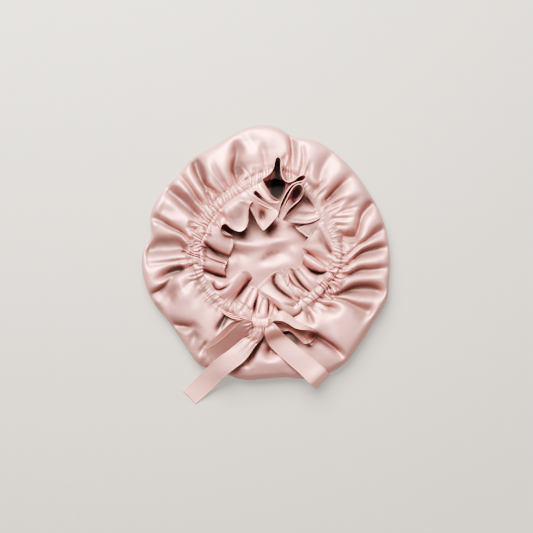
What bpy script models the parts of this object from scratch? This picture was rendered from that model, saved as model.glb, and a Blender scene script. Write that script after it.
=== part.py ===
"""A satin sleep bonnet lying flat on a table with its opening up.

The bonnet is a round bag of doubled satin. Its edge is gathered on a ring-shaped elastic casing,
a ruffle stands inside the casing and falls in over the opening, and a ribbon that runs out of the
casing at the front is tied in a bow.

Frame: the origin is on the table under the middle of the opening, +Z is up out of the opening,
the bow is on the -Y side, and angles run counterclockwise from +X. Tables are in millimetres and
degrees; the meshes are in metres.
"""

import math
from collections import namedtuple

import bmesh
import bpy
import numpy as np
from mathutils import Vector
from mathutils.bvhtree import BVHTree

MM = 0.001

# Driving dimensions, in millimetres.
WALL = 1.3  # doubled satin of the crown
RUFFLE_WALL = 1.1
RIBBON_WALL = 1.0
CASING_WIDTH = 12.0  # across the stitched tunnel that holds the elastic
CASING_THICK = 5.0
CASING_HEIGHT = 24.0  # the middle of the casing above the table
PUCKER = 0.8  # each second pucker of the casing is drawn in by this much on both edges
PUCKER_LOW = 0.72  # and the ones between stand this share as high
GAP = 0.4  # between the casing and the crown sewn to it
TABLE_EDGE = 0.30  # where the flat middle of the underside is filled from, as a share of the rim's radius

# Mesh density.
CROWN_SEGMENTS = 150
RUFFLE_SEGMENTS = 144
RUFFLE_ROWS = 3
CASING_SEGMENTS = 96
CASING_SIDES = 6
SPIN_RADIUS = 100.0  # of the plain ring that the casing is spun as, before it is laid on its line

Edge = namedtuple("Edge", "angle radius")
Level = namedtuple("Level", "way height fold")
Fold = namedtuple("Fold", "start end angle_in angle_mid angle_out depth width")
Hem = namedtuple("Hem", "root angle radius height billow")
Bend = namedtuple("Bend", "x y lift across roll width")

# The crown's outline as it lies, one row for each bulge and each dip between two bulges.
RIM = [
    Edge(0, 162), Edge(15, 157.5), Edge(30, 153), Edge(50, 153.5), Edge(65, 155), Edge(78, 151),
    Edge(85, 159), Edge(94, 162), Edge(105, 157.5), Edge(118, 151), Edge(130, 153), Edge(143, 152),
    Edge(152, 157.5), Edge(166, 160), Edge(174, 154.5), Edge(183, 165.5), Edge(192, 169), Edge(205, 168),
    Edge(219, 164), Edge(230, 170), Edge(240, 180), Edge(250, 177), Edge(260, 179), Edge(270, 175),
    Edge(278, 175), Edge(286, 182), Edge(303, 186.5), Edge(313, 179), Edge(323, 173.5), Edge(338, 173),
    Edge(346, 167), Edge(354, 164),
]

# The middle of the casing. The elastic pulls it in at the back left and the bow spreads the front.
CASING_LINE = [
    Edge(0, 93.5), Edge(14, 89.5), Edge(27, 87), Edge(40, 88), Edge(56, 92), Edge(72, 95), Edge(84, 96),
    Edge(95, 91), Edge(107, 86), Edge(120, 83.5), Edge(135, 84), Edge(150, 85.5), Edge(164, 88),
    Edge(177, 92), Edge(190, 95), Edge(205, 97), Edge(220, 97), Edge(236, 95), Edge(252, 95),
    Edge(264, 96), Edge(278, 94), Edge(292, 92), Edge(305, 90), Edge(318, 91), Edge(332, 92.5),
    Edge(346, 95),
]

# The crown's section from the casing (way 0) over the top to its widest place (way 1) and back
# under to the table. fold is the share of each fold's depth that this level takes.
TOP_LEVELS = [
    Level(0.00, 24.5, 0.35), Level(0.10, 29.0, 0.80), Level(0.22, 31.5, 1.0), Level(0.36, 31.5, 1.0),
    Level(0.50, 30.0, 1.0), Level(0.64, 27.5, 1.0), Level(0.78, 23.5, 0.85), Level(0.91, 17.5, 0.60),
    Level(0.985, 11.5, 0.35), Level(1.00, 5.0, 0.20), Level(0.94, 0.0, 0.0),
]
WIDEST = 9  # the level at which the section turns under

# How far the folds lean round the crown from the casing to the rim, in degrees.
LEANS = [
    Edge(0, 14), Edge(12, 9), Edge(25, 4), Edge(45, 3.5), Edge(62, 5), Edge(78, 5), Edge(95, 4),
    Edge(108, -5), Edge(118, -6), Edge(132, -3), Edge(150, -8), Edge(170, -9), Edge(186, -3), Edge(200, 4),
    Edge(218, 6), Edge(238, -2), Edge(262, -4), Edge(275, 4), Edge(298, 7), Edge(318, 13), Edge(338, 14),
    Edge(350, 15),
]

# The valleys between the crown's puffs: where each starts and ends on the way from the casing to
# the rim, its angle at the start, half-way and at the end, its depth and its half-width.
FOLDS = [
    Fold(0.00, 0.95, 353, 1, 8.5, 10, 5.0),
    Fold(0.00, 0.34, 12, 7, 4, 11, 5.5),
    Fold(0.20, 0.98, 4, 14, 22.5, 11, 7.0),
    Fold(0.00, 0.55, 24, 25, 27, 6, 4.5),
    Fold(0.00, 0.75, 36.5, 39, 39.5, 12, 5.5),
    Fold(0.00, 0.90, 49.5, 51, 54, 7, 6.5),
    Fold(0.00, 0.65, 64, 68, 70, 6, 4.5),
    Fold(0.04, 1.00, 73.5, 76, 79, 12, 5.0),
    Fold(0.10, 0.90, 91, 94, 98, 6, 8.0),
    Fold(0.00, 0.85, 114.5, 110, 107, 13, 8.0),
    Fold(0.00, 0.55, 123, 124, 124.5, 7, 4.0),
    Fold(0.00, 1.00, 132, 134.5, 129, 13, 6.5),
    Fold(0.02, 0.98, 147, 143.5, 140, 9, 5.0),
    Fold(0.00, 1.00, 158, 152, 148.5, 13, 8.0),
    Fold(0.00, 1.00, 174.5, 168, 165.5, 11, 5.0),
    Fold(0.05, 1.00, 183, 178, 179.5, 14, 8.5),
    Fold(0.10, 0.85, 196, 195, 195.5, 12, 6.0),
    Fold(0.25, 1.00, 198, 201, 202.5, 9, 5.0),
    Fold(0.45, 1.00, 214, 221, 226, 9, 11.0),
    Fold(0.10, 1.00, 239, 238, 237, 10, 5.5),
    Fold(0.20, 0.90, 264, 261, 259, 11, 6.0),
    Fold(0.30, 0.95, 272, 274, 276, 7, 8.0),
    Fold(0.25, 0.98, 298, 302, 305, 12, 6.0),
    Fold(0.00, 0.42, 311, 315, 318, 10, 7.0),
    Fold(0.05, 0.98, 318, 326, 328, 9, 6.5),
    Fold(0.02, 0.96, 321, 334, 339, 13, 7.0),
    Fold(0.00, 0.95, 338, 345, 349, 10, 5.5),
    Fold(0.00, 1.00, 341, 356, 0, 11, 5.5),
]
FOLD_LIMIT = 12.5  # where two valleys meet, they go no deeper than this
FOLD_SHARPNESS = 1.6  # 2 is a round valley, 1 a crease
FOLD_FADE_IN = 0.25  # of its length that a valley runs on past its start, getting shallower
FOLD_FADE_OUT = 0.12  # and past its end
PINCH = 0.55  # a valley's width at the casing, as a share of its width further out
PINCH_REACH = 0.35
GATHER = 1.3  # depth of the small gathers beside the casing
GATHER_REACH = 0.24

# The ruffle's free edge, one row for each crest and each turn: the casing angle that it hangs
# from, where the edge lies, and how far the cloth billows up between the two.
HEMS = [
    Hem(334, 335, 52, 16, 4), Hem(341, 345, 49, 20, 5), Hem(348, 351, 49, 13, 2), Hem(355, 357, 48, 20, 6),
    Hem(4, 7, 52, 21, 6), Hem(12, 15, 57, 20, 4), Hem(18, 21, 51, 12, 0), Hem(23, 29, 47, 12, 0),
    Hem(27, 35, 52, 14, 0), Hem(31, 32, 65, 26, 2), Hem(37, 39, 52, 25, 5), Hem(44, 49, 44, 26, 5),
    Hem(50, 60, 41, 31, 2), Hem(54, 60, 58, 41, 0), Hem(57, 56, 75, 47, 0), Hem(60, 59, 88, 50, 0),
    Hem(63, 65, 88, 50, 0), Hem(66, 68.5, 68, 45, 0), Hem(69, 72.5, 50, 40, 0), Hem(72, 76, 64, 45, 0),
    Hem(75, 74, 84, 47, 0), Hem(77.5, 73, 98, 48, 0), Hem(80, 78, 99, 48, 0), Hem(82.5, 82, 114, 46, 0),
    Hem(85, 86, 109, 47, 0), Hem(88, 91, 93, 46, 0), Hem(92, 97, 75, 42, 0), Hem(95.5, 90, 61, 40, 0),
    Hem(99, 79, 55, 36, 0), Hem(102, 83, 39, 27, 2), Hem(105, 97, 26, 25, 5), Hem(109, 110, 30, 24, 4),
    Hem(113, 121, 43, 22, 0), Hem(118, 125, 44, 26, 5), Hem(124, 132, 40, 28, 8), Hem(131, 143, 39, 28, 8),
    Hem(137, 150, 49, 28, 4), Hem(142, 152, 62, 30, 0), Hem(147, 158, 66, 29, 0), Hem(152, 162, 58, 25, 0),
    Hem(158, 166, 49, 16, 0), Hem(165, 174, 46, 20, 5), Hem(173, 184, 48, 19, 5), Hem(180, 192, 52, 13, 2),
    Hem(186, 198, 56, 20, 4), Hem(193, 205, 62, 20, 4), Hem(199, 211, 66, 13, 0), Hem(205, 215, 66, 16, 1),
    Hem(211, 221, 61, 12, 0), Hem(217, 223, 52, 22, 3), Hem(223, 228, 44, 24, 6), Hem(229, 236, 42, 19, 6),
    Hem(235, 243, 47, 15, 3), Hem(241, 248, 56, 21, 3), Hem(247, 256, 57, 14, 1), Hem(253, 262, 64, 19, 2),
    Hem(259, 269, 69, 12, 0), Hem(264, 266, 61, 20, 0), Hem(268, 261, 54, 27, 2), Hem(275, 274, 38, 24, 6),
    Hem(283, 289, 33, 18, 4), Hem(290, 298, 35, 13, 1), Hem(297, 305, 36, 21, 5), Hem(304, 313, 41, 14, 2),
    Hem(311, 320, 45, 20, 5), Hem(318, 326, 49, 13, 1), Hem(326, 331, 51, 19, 4),
]
LEAVE_IN = 7.0  # the cloth leaves the casing inwards, and more steeply where its edge stands high
LEAVE_UP = 1.0
BILLOW_AT = 0.35  # the way back from the free edge to the casing at which the cloth billows

# The bow. Each strip of ribbon is a row of bends along its middle line: lift is the height above
# what it lies on, across is the direction of its width as seen from above, roll tips that width up
# on one side, and width is how wide it is spread there.
BOW_AT = (-7.0, -102.0)
KNOT_SIZE = (27.0, 13.0, 8.0)
KNOT_LIFT = 6.0  # its middle above the cloth that it lies on
LEAD_STEPS = 8
TAIL_STEPS = 20
LOOP_STEPS = 24
LEAD_LEFT = [
    Bend(-62, -83.5, 1.0, 120, 0, 9), Bend(-50, -89.5, 1.0, 115, 0, 11), Bend(-36, -94.8, 1.5, 105, 0, 12),
    Bend(-20.9, -97.4, 4.0, 90, 0, 8),
]
LEAD_RIGHT = [
    Bend(6.9, -97.2, 4.0, 90, 0, 8), Bend(20, -93.6, 1.5, 72, 0, 10), Bend(33, -88.4, 1.0, 68, 0, 9),
]
LOOP_LEFT = [
    Bend(-20.9, -102.5, 6.5, 90, 0, 9), Bend(-31, -108, 9.5, 112, 0, 15), Bend(-46, -119.5, 10.0, 124, 0, 20),
    Bend(-62, -131.5, 8.5, 124, 0, 20), Bend(-72, -139, 6.5, 124, 0, 20), Bend(-75, -141, 4.0, 124, 0, 20),
    Bend(-72, -139, 1.8, 124, 0, 20), Bend(-62, -131.5, 1.2, 124, 0, 20), Bend(-46, -119.5, 1.2, 124, 0, 18),
    Bend(-31, -108, 2.5, 112, 0, 13), Bend(-20.9, -102.5, 3.5, 90, 0, 8),
]
LOOP_RIGHT = [
    Bend(6.9, -101, 4.4, 90, 0, 9), Bend(17, -98.5, 9.5, 85, 14, 16), Bend(32, -101, 13.5, 75, 26, 21),
    Bend(46, -107.5, 15, 68, 32, 23), Bend(57, -114.5, 13.5, 62, 36, 22), Bend(62.5, -118.5, 10, 60, 38, 21),
    Bend(58, -115.5, 7.5, 62, 30, 20), Bend(46, -109.5, 7, 68, 18, 18), Bend(32, -103.5, 5.5, 75, 10, 15),
    Bend(18, -101.5, 4, 85, 4, 11), Bend(6.9, -102.5, 1.6, 90, 0, 8),
]
TAIL_LEFT = [
    Bend(-11, -110, 4.0, 180, 0, 10), Bend(-15, -117, 4.5, 160, 0, 16), Bend(-26, -128.5, 1.5, 140, 0, 22),
    Bend(-45, -144.5, 1.0, 133, 0, 25), Bend(-62, -160, 1.0, 133, 0, 25), Bend(-78, -175, 1.0, 133, 0, 25),
    Bend(-92, -189, 1.0, 133, 0, 25), Bend(-104, -200.5, 1.0, 135, 0, 25),
]
TAIL_RIGHT = [
    Bend(2.5, -110, 4.0, 20, 0, 11), Bend(9, -118, 3.0, 32, 0, 20), Bend(22, -131, 1.0, 40, 0, 24),
    Bend(38, -146.5, 1.0, 43, 0, 25), Bend(57, -163, 1.4, 46, 0, 25), Bend(75, -179, 5.0, 45, 0, 25),
]


def smooth(value):
    """0 to 1 with level ends."""
    value = np.clip(value, 0.0, 1.0)
    return value * value * (3 - 2 * value)


def around(rows, column, angle):
    """A column of a table read at any angle, as a closed curve through its rows."""
    rows = sorted(rows, key=lambda row: row.angle)
    at = np.array([row.angle for row in rows], float)
    value = np.array([getattr(row, column) for row in rows], float)
    at = np.concatenate([at[-2:] - 360, at, at[:2] + 360])
    value = np.concatenate([value[-2:], value, value[:2]])
    return through(at, value, np.mod(angle, 360))


def through(at, value, where):
    """A smooth curve through (at, value), with the slope at each point from its two neighbours."""
    slope = np.gradient(value, at)
    k = np.clip(np.searchsorted(at, where, side="right") - 1, 0, len(at) - 2)
    span = at[k + 1] - at[k]
    t = (where - at[k]) / span
    return (
        value[k] * (1 + 2 * t) * (1 - t) ** 2
        + slope[k] * span * t * (1 - t) ** 2
        + value[k + 1] * t * t * (3 - 2 * t)
        - slope[k + 1] * span * t * t * (1 - t)
    )


def polar(angle, radius, height):
    turn = math.radians(angle)
    return Vector((radius * math.cos(turn), radius * math.sin(turn), height)) * MM


def fold_depth(angle, way, radius):
    """How deep the valleys are at this angle and this share of the way from casing to rim."""
    depth = 0.0
    for fold in FOLDS:
        along = (way - fold.start) / (fold.end - fold.start)
        if not -FOLD_FADE_IN < along < 1 + FOLD_FADE_OUT:
            continue
        t = float(np.clip(along, 0, 1))
        to_mid = fold_turn(fold.angle_in, fold.angle_mid)
        to_out = fold_turn(fold.angle_in, fold.angle_out)
        line = fold.angle_in + to_mid * 4 * t * (1 - t) + to_out * t * (2 * t - 1)
        aside = abs(math.radians(fold_turn(line, angle))) * radius
        width = fold.width * (PINCH + (1 - PINCH) * smooth(way / PINCH_REACH))
        fade = smooth((1 + FOLD_FADE_OUT - along) / (4 * FOLD_FADE_OUT))
        if fold.start > 0:
            fade *= smooth((along + FOLD_FADE_IN) / (2 * FOLD_FADE_IN))
        depth += fold.depth * fade * math.exp(-((aside / width) ** FOLD_SHARPNESS))
    return min(depth, FOLD_LIMIT)


def fold_turn(start, end):
    """The shorter turn from one angle to another, in degrees."""
    return (end - start + 180) % 360 - 180


def crown_point(index, turn):
    """A point of the crown's outer face on one level of its section, turn degrees round the casing."""
    level = TOP_LEVELS[index]
    angle = turn + float(around(LEANS, "radius", turn)) * level.way
    inner = float(around(CASING_LINE, "radius", angle)) + CASING_WIDTH / 2 + GAP
    rim = float(around(RIM, "radius", angle))
    radius = inner + (rim - inner) * level.way
    before = TOP_LEVELS[max(index - 1, 0)]
    after = TOP_LEVELS[min(index + 1, len(TOP_LEVELS) - 1)]
    out = Vector((before.height - after.height, (after.way - before.way) * (rim - inner))).normalized()
    way = level.way if index <= WIDEST else 1.0
    depth = fold_depth(angle, way, radius) * level.fold
    if round(turn / 360 * CROWN_SEGMENTS) % 2 and level.way < GATHER_REACH:
        depth += GATHER
    return polar(angle, radius - out.x * depth, level.height - out.y * depth)


def new_material(name, colour, roughness, sheen):
    material = bpy.data.materials.new(name)
    material.use_nodes = True
    surface = material.node_tree.nodes["Principled BSDF"]
    surface.inputs["Base Color"].default_value = (*colour, 1)
    surface.inputs["Roughness"].default_value = roughness
    surface.inputs["Metallic"].default_value = 0.0
    surface.inputs["Sheen Weight"].default_value = sheen
    return material


def finish_mesh(name, shell, collection, material):
    """Puts a bmesh into the scene as a smooth-shaded object."""
    mesh = bpy.data.meshes.new(name)
    shell.to_mesh(mesh)
    shell.free()
    mesh.shade_smooth()
    mesh.set_sharp_from_angle(angle=math.radians(60))
    mesh.materials.append(material)
    made = bpy.data.objects.new(name, mesh)
    collection.objects.link(made)
    return made


def thicken(made, wall, offset):
    """Gives an open cloth surface its wall. offset -1 grows it inwards, 0 to both sides."""
    solidify = made.modifiers.new("wall", "SOLIDIFY")
    solidify.thickness = wall * MM
    solidify.offset = offset
    solidify.use_even_offset = False


def spun_rows(count, segments):
    """A flat disc of rings, spun from a line of points: ring k has radius k + 1, for laying in place."""
    disc = bmesh.new()
    line = [disc.verts.new((k + 1.0, 0, 0)) for k in range(count)]
    for first, second in zip(line, line[1:]):
        disc.edges.new((first, second))
    bmesh.ops.spin(
        disc, geom=disc.verts[:] + disc.edges[:], axis=(0, 0, 1), cent=(0, 0, 0),
        angle=math.tau, steps=segments, use_merge=True,
    )
    return disc


def ring_place(vert):
    """(which ring, angle in degrees) of a point of a spun disc."""
    return round(math.hypot(vert.co.x, vert.co.y)) - 1, math.degrees(math.atan2(vert.co.y, vert.co.x)) % 360


def build_crown(collection, material):
    bag = spun_rows(len(TOP_LEVELS) + 1, CROWN_SEGMENTS)
    floor_ring = set()
    for vert in bag.verts:
        index, turn = ring_place(vert)
        if index < len(TOP_LEVELS):
            vert.co = crown_point(index, turn)
        else:
            vert.co = polar(turn, TABLE_EDGE * float(around(RIM, "radius", turn)), 0)
            floor_ring.add(vert)
    edges = [edge for edge in bag.edges if edge.is_boundary and set(edge.verts) <= floor_ring]
    bmesh.ops.edgeloop_fill(bag, edges=edges)
    bmesh.ops.recalc_face_normals(bag, faces=bag.faces[:])
    crown = finish_mesh("crown", bag, collection, material)
    thicken(crown, WALL, -1)
    return crown


def build_casing(collection, material):
    """The gathered tunnel of cloth over the elastic: a flat-oval ring, drawn up in small puckers."""
    ring = bmesh.new()
    for k in range(CASING_SIDES):
        turn = math.tau * k / CASING_SIDES
        across = CASING_WIDTH / 2 * math.cos(turn)
        up = CASING_THICK / 2 * math.sin(turn) / math.sin(math.tau / CASING_SIDES)
        ring.verts.new((SPIN_RADIUS + across, 0, up))
    ring.verts.ensure_lookup_table()
    for k in range(CASING_SIDES):
        ring.edges.new((ring.verts[k], ring.verts[(k + 1) % CASING_SIDES]))
    bmesh.ops.spin(
        ring, geom=ring.verts[:] + ring.edges[:], axis=(0, 0, 1), cent=(0, 0, 0),
        angle=math.tau, steps=CASING_SEGMENTS, use_merge=True,
    )
    for vert in ring.verts:
        angle = math.degrees(math.atan2(vert.co.y, vert.co.x)) % 360
        across, up = math.hypot(vert.co.x, vert.co.y) - SPIN_RADIUS, vert.co.z
        segment = round(angle / 360 * CASING_SEGMENTS)
        narrower, higher = (1 - 2 * PUCKER / CASING_WIDTH, 1.0) if segment % 2 else (1.0, PUCKER_LOW)
        middle = float(around(CASING_LINE, "radius", angle))
        vert.co = polar(angle, middle + across * narrower, CASING_HEIGHT + up * higher)
    bmesh.ops.recalc_face_normals(ring, faces=ring.faces[:])
    return finish_mesh("elastic_casing", ring, collection, material)


def hem_columns():
    """Each column of HEMS, unwound so that angles run on past 360, with its ends repeated."""
    columns = {}
    for name in Hem._fields:
        value = np.array([getattr(hem, name) for hem in HEMS], float)
        lap = 0.0
        if name in ("root", "angle"):
            value = np.degrees(np.unwrap(np.radians(value)))
            lap = 360.0
        columns[name] = np.concatenate([value[-2:] - lap, value, value[:2] + lap])
    return columns


def ruffle_point(columns, share, down):
    """A point of the ruffle: share of the rows of HEMS passed, and down from casing to free edge."""
    at = np.arange(len(HEMS) + 4, dtype=float)
    row = {name: float(through(at, column, 2 + share * len(HEMS))) for name, column in columns.items()}
    casing = float(around(CASING_LINE, "radius", row["root"]))
    start = polar(row["root"], casing - CASING_WIDTH / 2 - RUFFLE_WALL, CASING_HEIGHT)
    edge = polar(row["angle"], row["radius"], row["height"])
    rise = max(row["height"] - CASING_HEIGHT, 0.0)
    first = start + polar(row["root"], -LEAVE_IN - rise / 4, LEAVE_UP + rise * 3 / 4)
    second = edge.lerp(start, BILLOW_AT) + Vector((0, 0, row["billow"])) * MM
    keep = 1 - down
    return start * keep**3 + first * 3 * keep**2 * down + second * 3 * keep * down**2 + edge * down**3


def build_ruffle(collection, material):
    columns = hem_columns()
    frill = spun_rows(RUFFLE_ROWS + 1, RUFFLE_SEGMENTS)
    for vert in frill.verts:
        index, angle = ring_place(vert)
        vert.co = ruffle_point(columns, angle / 360, index / RUFFLE_ROWS)
    bmesh.ops.recalc_face_normals(frill, faces=frill.faces[:])
    ruffle = finish_mesh("ruffle", frill, collection, material)
    thicken(ruffle, RUFFLE_WALL, 0)
    return ruffle


class Bed:
    """What the bow lies on: the pieces made so far, and the table."""

    def __init__(self):
        self.trees = []

    def add(self, piece):
        self.trees.append(BVHTree.FromObject(piece, bpy.context.evaluated_depsgraph_get()))

    def height(self, x, y):
        """The height of the highest cloth at a point, all in millimetres."""
        top = 0.0
        for tree in self.trees:
            hit = tree.ray_cast(Vector((x, y, 200)) * MM, Vector((0, 0, -1)))[0]
            if hit is not None:
                top = max(top, hit.z / MM)
        return top


def laid_heights(bed, x, y, across, width):
    """The height of a ribbon laid on the bed: it bridges the hollows and clears the crests."""
    count = len(x)
    fine = np.linspace(0, count - 1, 2 * count - 1)
    column = [np.interp(fine, range(count), value) for value in (x, y, across[:, 0], across[:, 1], width)]
    under = np.zeros(len(fine))
    for k, (px, py, ax, ay, wide) in enumerate(zip(*column)):
        aside = np.linspace(-0.5, 0.5, 9) * (wide + 2.0)
        under[k] = max(bed.height(px + ax * f, py + ay * f) for f in aside)
    steps, between = under[::2], under[1::2]
    height = steps.copy()
    for _ in range(6):
        level = height.copy()
        level[1:-1] = (height[:-2] + 2 * height[1:-1] + height[2:]) / 4
        height = np.maximum(level, steps)
        short = np.maximum(between - (height[:-1] + height[1:]) / 2, 0)
        height[:-1] += short
        height[1:] += short
    return height


def build_ribbon(name, bends, steps, bed, collection, material):
    """A strip cut flat, then laid along its bends."""
    at = np.arange(len(bends), dtype=float)
    where = np.linspace(0, len(bends) - 1, steps + 1)
    columns = np.array(bends, float).T
    x, y, lift, turn, roll, width = (through(at, column, where) for column in columns)
    turn, roll = np.radians(turn), np.radians(roll)
    across = np.stack([np.cos(turn), np.sin(turn)], axis=1)
    height = laid_heights(bed, x, y, across, width) + lift
    strip = bmesh.new()
    bmesh.ops.create_grid(strip, x_segments=steps, y_segments=2, size=0.5)
    for vert in strip.verts:
        k = round((vert.co.x + 0.5) * steps)
        aside = vert.co.y * width[k]
        level = aside * math.cos(roll[k])
        spot = Vector((x[k] + across[k, 0] * level, y[k] + across[k, 1] * level, height[k]))
        vert.co = (spot + Vector((0, 0, aside * math.sin(roll[k])))) * MM
    bmesh.ops.recalc_face_normals(strip, faces=strip.faces[:])
    ribbon = finish_mesh(name, strip, collection, material)
    thicken(ribbon, RIBBON_WALL, 0)
    bed.add(ribbon)


def build_knot(bed, collection, material):
    """The turn of ribbon pulled tight round the bow: a rounded block, waisted where it is drawn in."""
    ends = [BOW_AT[0] + KNOT_SIZE[0] * f for f in (-0.45, -0.2, 0, 0.2, 0.45)]
    sides = [BOW_AT[1] + KNOT_SIZE[1] * f for f in (-0.45, -0.2, 0, 0.2, 0.45)]
    height = max(bed.height(x, y) for x in ends for y in sides) + KNOT_LIFT
    knot = bmesh.new()
    bmesh.ops.create_cube(knot, size=1.0)
    bmesh.ops.bevel(
        knot, geom=knot.edges[:], offset=0.24, segments=3, profile=0.5, affect="EDGES", material=-1,
    )
    for vert in knot.verts:
        waist = 1 - 0.16 * math.cos(vert.co.x * math.pi)
        vert.co = Vector(
            (
                (BOW_AT[0] + vert.co.x * KNOT_SIZE[0]) * MM,
                (BOW_AT[1] + vert.co.y * KNOT_SIZE[1] * waist) * MM,
                (height + vert.co.z * KNOT_SIZE[2] * waist) * MM,
            )
        )
    return finish_mesh("ribbon_knot", knot, collection, material)


def main():
    for old in list(bpy.data.objects):
        bpy.data.objects.remove(old)
    collection = bpy.data.collections.new("sleep_bonnet")
    bpy.context.scene.collection.children.link(collection)
    satin = new_material("rose_satin", (0.78, 0.55, 0.52), 0.38, 0.3)
    ribbon_satin = new_material("rose_ribbon", (0.82, 0.62, 0.6), 0.45, 0.2)
    bed = Bed()
    bed.add(build_crown(collection, satin))
    bed.add(build_casing(collection, satin))
    bed.add(build_ruffle(collection, satin))
    build_knot(bed, collection, ribbon_satin)
    build_ribbon("ribbon_lead_left", LEAD_LEFT, LEAD_STEPS, bed, collection, ribbon_satin)
    build_ribbon("ribbon_lead_right", LEAD_RIGHT, LEAD_STEPS, bed, collection, ribbon_satin)
    build_ribbon("ribbon_tail_left", TAIL_LEFT, TAIL_STEPS, bed, collection, ribbon_satin)
    build_ribbon("ribbon_tail_right", TAIL_RIGHT, TAIL_STEPS, bed, collection, ribbon_satin)
    build_ribbon("ribbon_loop_left", LOOP_LEFT, LOOP_STEPS, bed, collection, ribbon_satin)
    build_ribbon("ribbon_loop_right", LOOP_RIGHT, LOOP_STEPS, bed, collection, ribbon_satin)


main()
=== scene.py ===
"""The looks of a rose satin sleep bonnet lying flat with its opening up.

Sizes are in millimetres and degrees in the tables below, and angles run counterclockwise from +X round
the middle of the opening. Meshes are made in metres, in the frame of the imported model, and the floor, the
lamps and the camera are placed in metres too.
"""

import math
from collections import namedtuple

import bmesh
import bpy
import numpy as np
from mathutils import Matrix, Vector
from mathutils.bvhtree import BVHTree


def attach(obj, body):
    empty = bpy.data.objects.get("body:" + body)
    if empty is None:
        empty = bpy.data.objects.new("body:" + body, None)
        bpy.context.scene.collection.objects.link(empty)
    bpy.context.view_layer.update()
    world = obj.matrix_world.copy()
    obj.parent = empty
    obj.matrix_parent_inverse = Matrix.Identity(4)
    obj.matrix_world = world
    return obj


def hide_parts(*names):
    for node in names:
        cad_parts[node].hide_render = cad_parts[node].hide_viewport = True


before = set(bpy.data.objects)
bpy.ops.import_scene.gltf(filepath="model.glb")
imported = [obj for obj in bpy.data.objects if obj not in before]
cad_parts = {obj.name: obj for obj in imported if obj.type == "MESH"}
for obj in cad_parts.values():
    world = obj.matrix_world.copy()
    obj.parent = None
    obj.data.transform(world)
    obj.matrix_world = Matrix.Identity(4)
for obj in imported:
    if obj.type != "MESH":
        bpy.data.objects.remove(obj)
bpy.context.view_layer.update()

MM = 0.001
TAU = math.tau

# ---------------------------------------------------------------- the tables' columns

Edge = namedtuple("Edge", "angle radius")
Level = namedtuple("Level", "way height fold")
Lean = namedtuple("Lean", "angle turn")
Mark = namedtuple("Mark", "angle radius depth low high")
Draw = namedtuple("Draw", "angle strength")
Swell = namedtuple("Swell", "x y along across turn height")
Hem = namedtuple("Hem", "root x y height billow dip crest", defaults=(0, 0, 0))
Press = namedtuple("Press", "start end marks")
Spot = namedtuple("Spot", "x y depth width")
ShadedPlace = namedtuple("ShadedPlace", "x y along across turn top shade")
Lay = namedtuple("Lay", "ax ay az bx by bz arch pleat shade", defaults=(0,))
Finish = namedtuple("Finish", "name rose metallic roughness thread crumple")
Lamp = namedtuple("Lamp", "name place size watts")

# ---------------------------------------------------------------- the crown

CASING_WIDTH = 12.0
CASING_HEIGHT = 24.0
CROWN_WALL = 0.9
CROWN_GAP = 0.2  # from the casing's edge to the start of the crown's section
CLOSED_LAP = 2  # rows of a closed table that are repeated past each of its ends

# The crown's outline as it lies.
RIM = [
    Edge(0, 162), Edge(15, 157.5), Edge(30, 153), Edge(50, 153.5), Edge(65, 155), Edge(78, 151),
    Edge(85, 159), Edge(94, 162), Edge(105, 157.5), Edge(118, 151), Edge(130, 153), Edge(143, 152),
    Edge(152, 157.5), Edge(166, 160), Edge(174, 154.5), Edge(183, 165.5), Edge(192, 169), Edge(205, 168),
    Edge(219, 164), Edge(230, 170), Edge(240, 180), Edge(250, 177), Edge(260, 179), Edge(270, 175),
    Edge(278, 175), Edge(286, 182), Edge(303, 186.5), Edge(313, 179), Edge(323, 173.5), Edge(338, 173),
    Edge(346, 167), Edge(354, 164),
]

# The middle of the casing.
CASING_LINE = [
    Edge(0, 93.5), Edge(14, 89.5), Edge(27, 87), Edge(40, 88), Edge(56, 92), Edge(72, 95), Edge(84, 96),
    Edge(95, 91), Edge(107, 86), Edge(120, 83.5), Edge(135, 84), Edge(150, 85.5), Edge(164, 88),
    Edge(177, 92), Edge(190, 95), Edge(205, 97), Edge(220, 97), Edge(236, 95), Edge(252, 95),
    Edge(264, 96), Edge(278, 94), Edge(292, 92), Edge(305, 90), Edge(318, 91), Edge(332, 92.5),
    Edge(346, 95),
]

# The crown's section, from the casing over the top, round the rim and back under to the middle.
LEVELS = [
    Level(-0.08, 22.0, 0.10), Level(0.00, 24.5, 0.35), Level(0.10, 28.5, 0.80), Level(0.22, 31.0, 1.0),
    Level(0.36, 32.0, 1.0), Level(0.50, 31.8, 1.0), Level(0.64, 31.0, 1.0), Level(0.78, 29.2, 1.0),
    Level(0.90, 25.6, 0.88), Level(0.965, 19.5, 0.50), Level(1.00, 11.0, 0.15), Level(0.96, 1.2, 0.0),
    Level(0.80, 0.6, 0), Level(0.40, 0.6, 0), Level(-0.10, 0.6, 0),
]
SIDE_ROW, FLOOR_ROW, MIDDLE_ROW = 9, 12, 14  # rows of LEVELS: the shoulder, the floor's start, its middle
TOP_RINGS = 35
UNDER_RINGS = 4
FLOOR_RINGS = 22
CROWN_TURNS = 780
FLOOR_SHARE = 0.868  # where the floor's rings start, as a share of the rim
FLOOR_CLOSE = 0.985  # how much of that they shrink by on the way to the middle
TOP_TO = 9.6  # the rows up to here are folded as the top
LIFT_FROM = 11.5  # the rows from here follow the swells of the underside
LIFT_RIM, LIFT_FADE = 140.0, 30.0  # the swells run out towards this radius
FLAT_ROWS = (0, 9, 10, 12, 14)  # rows of LEVELS and the cloth's own radius there
FLAT_RADII = (60, 160, 172, 190, 238)

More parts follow.
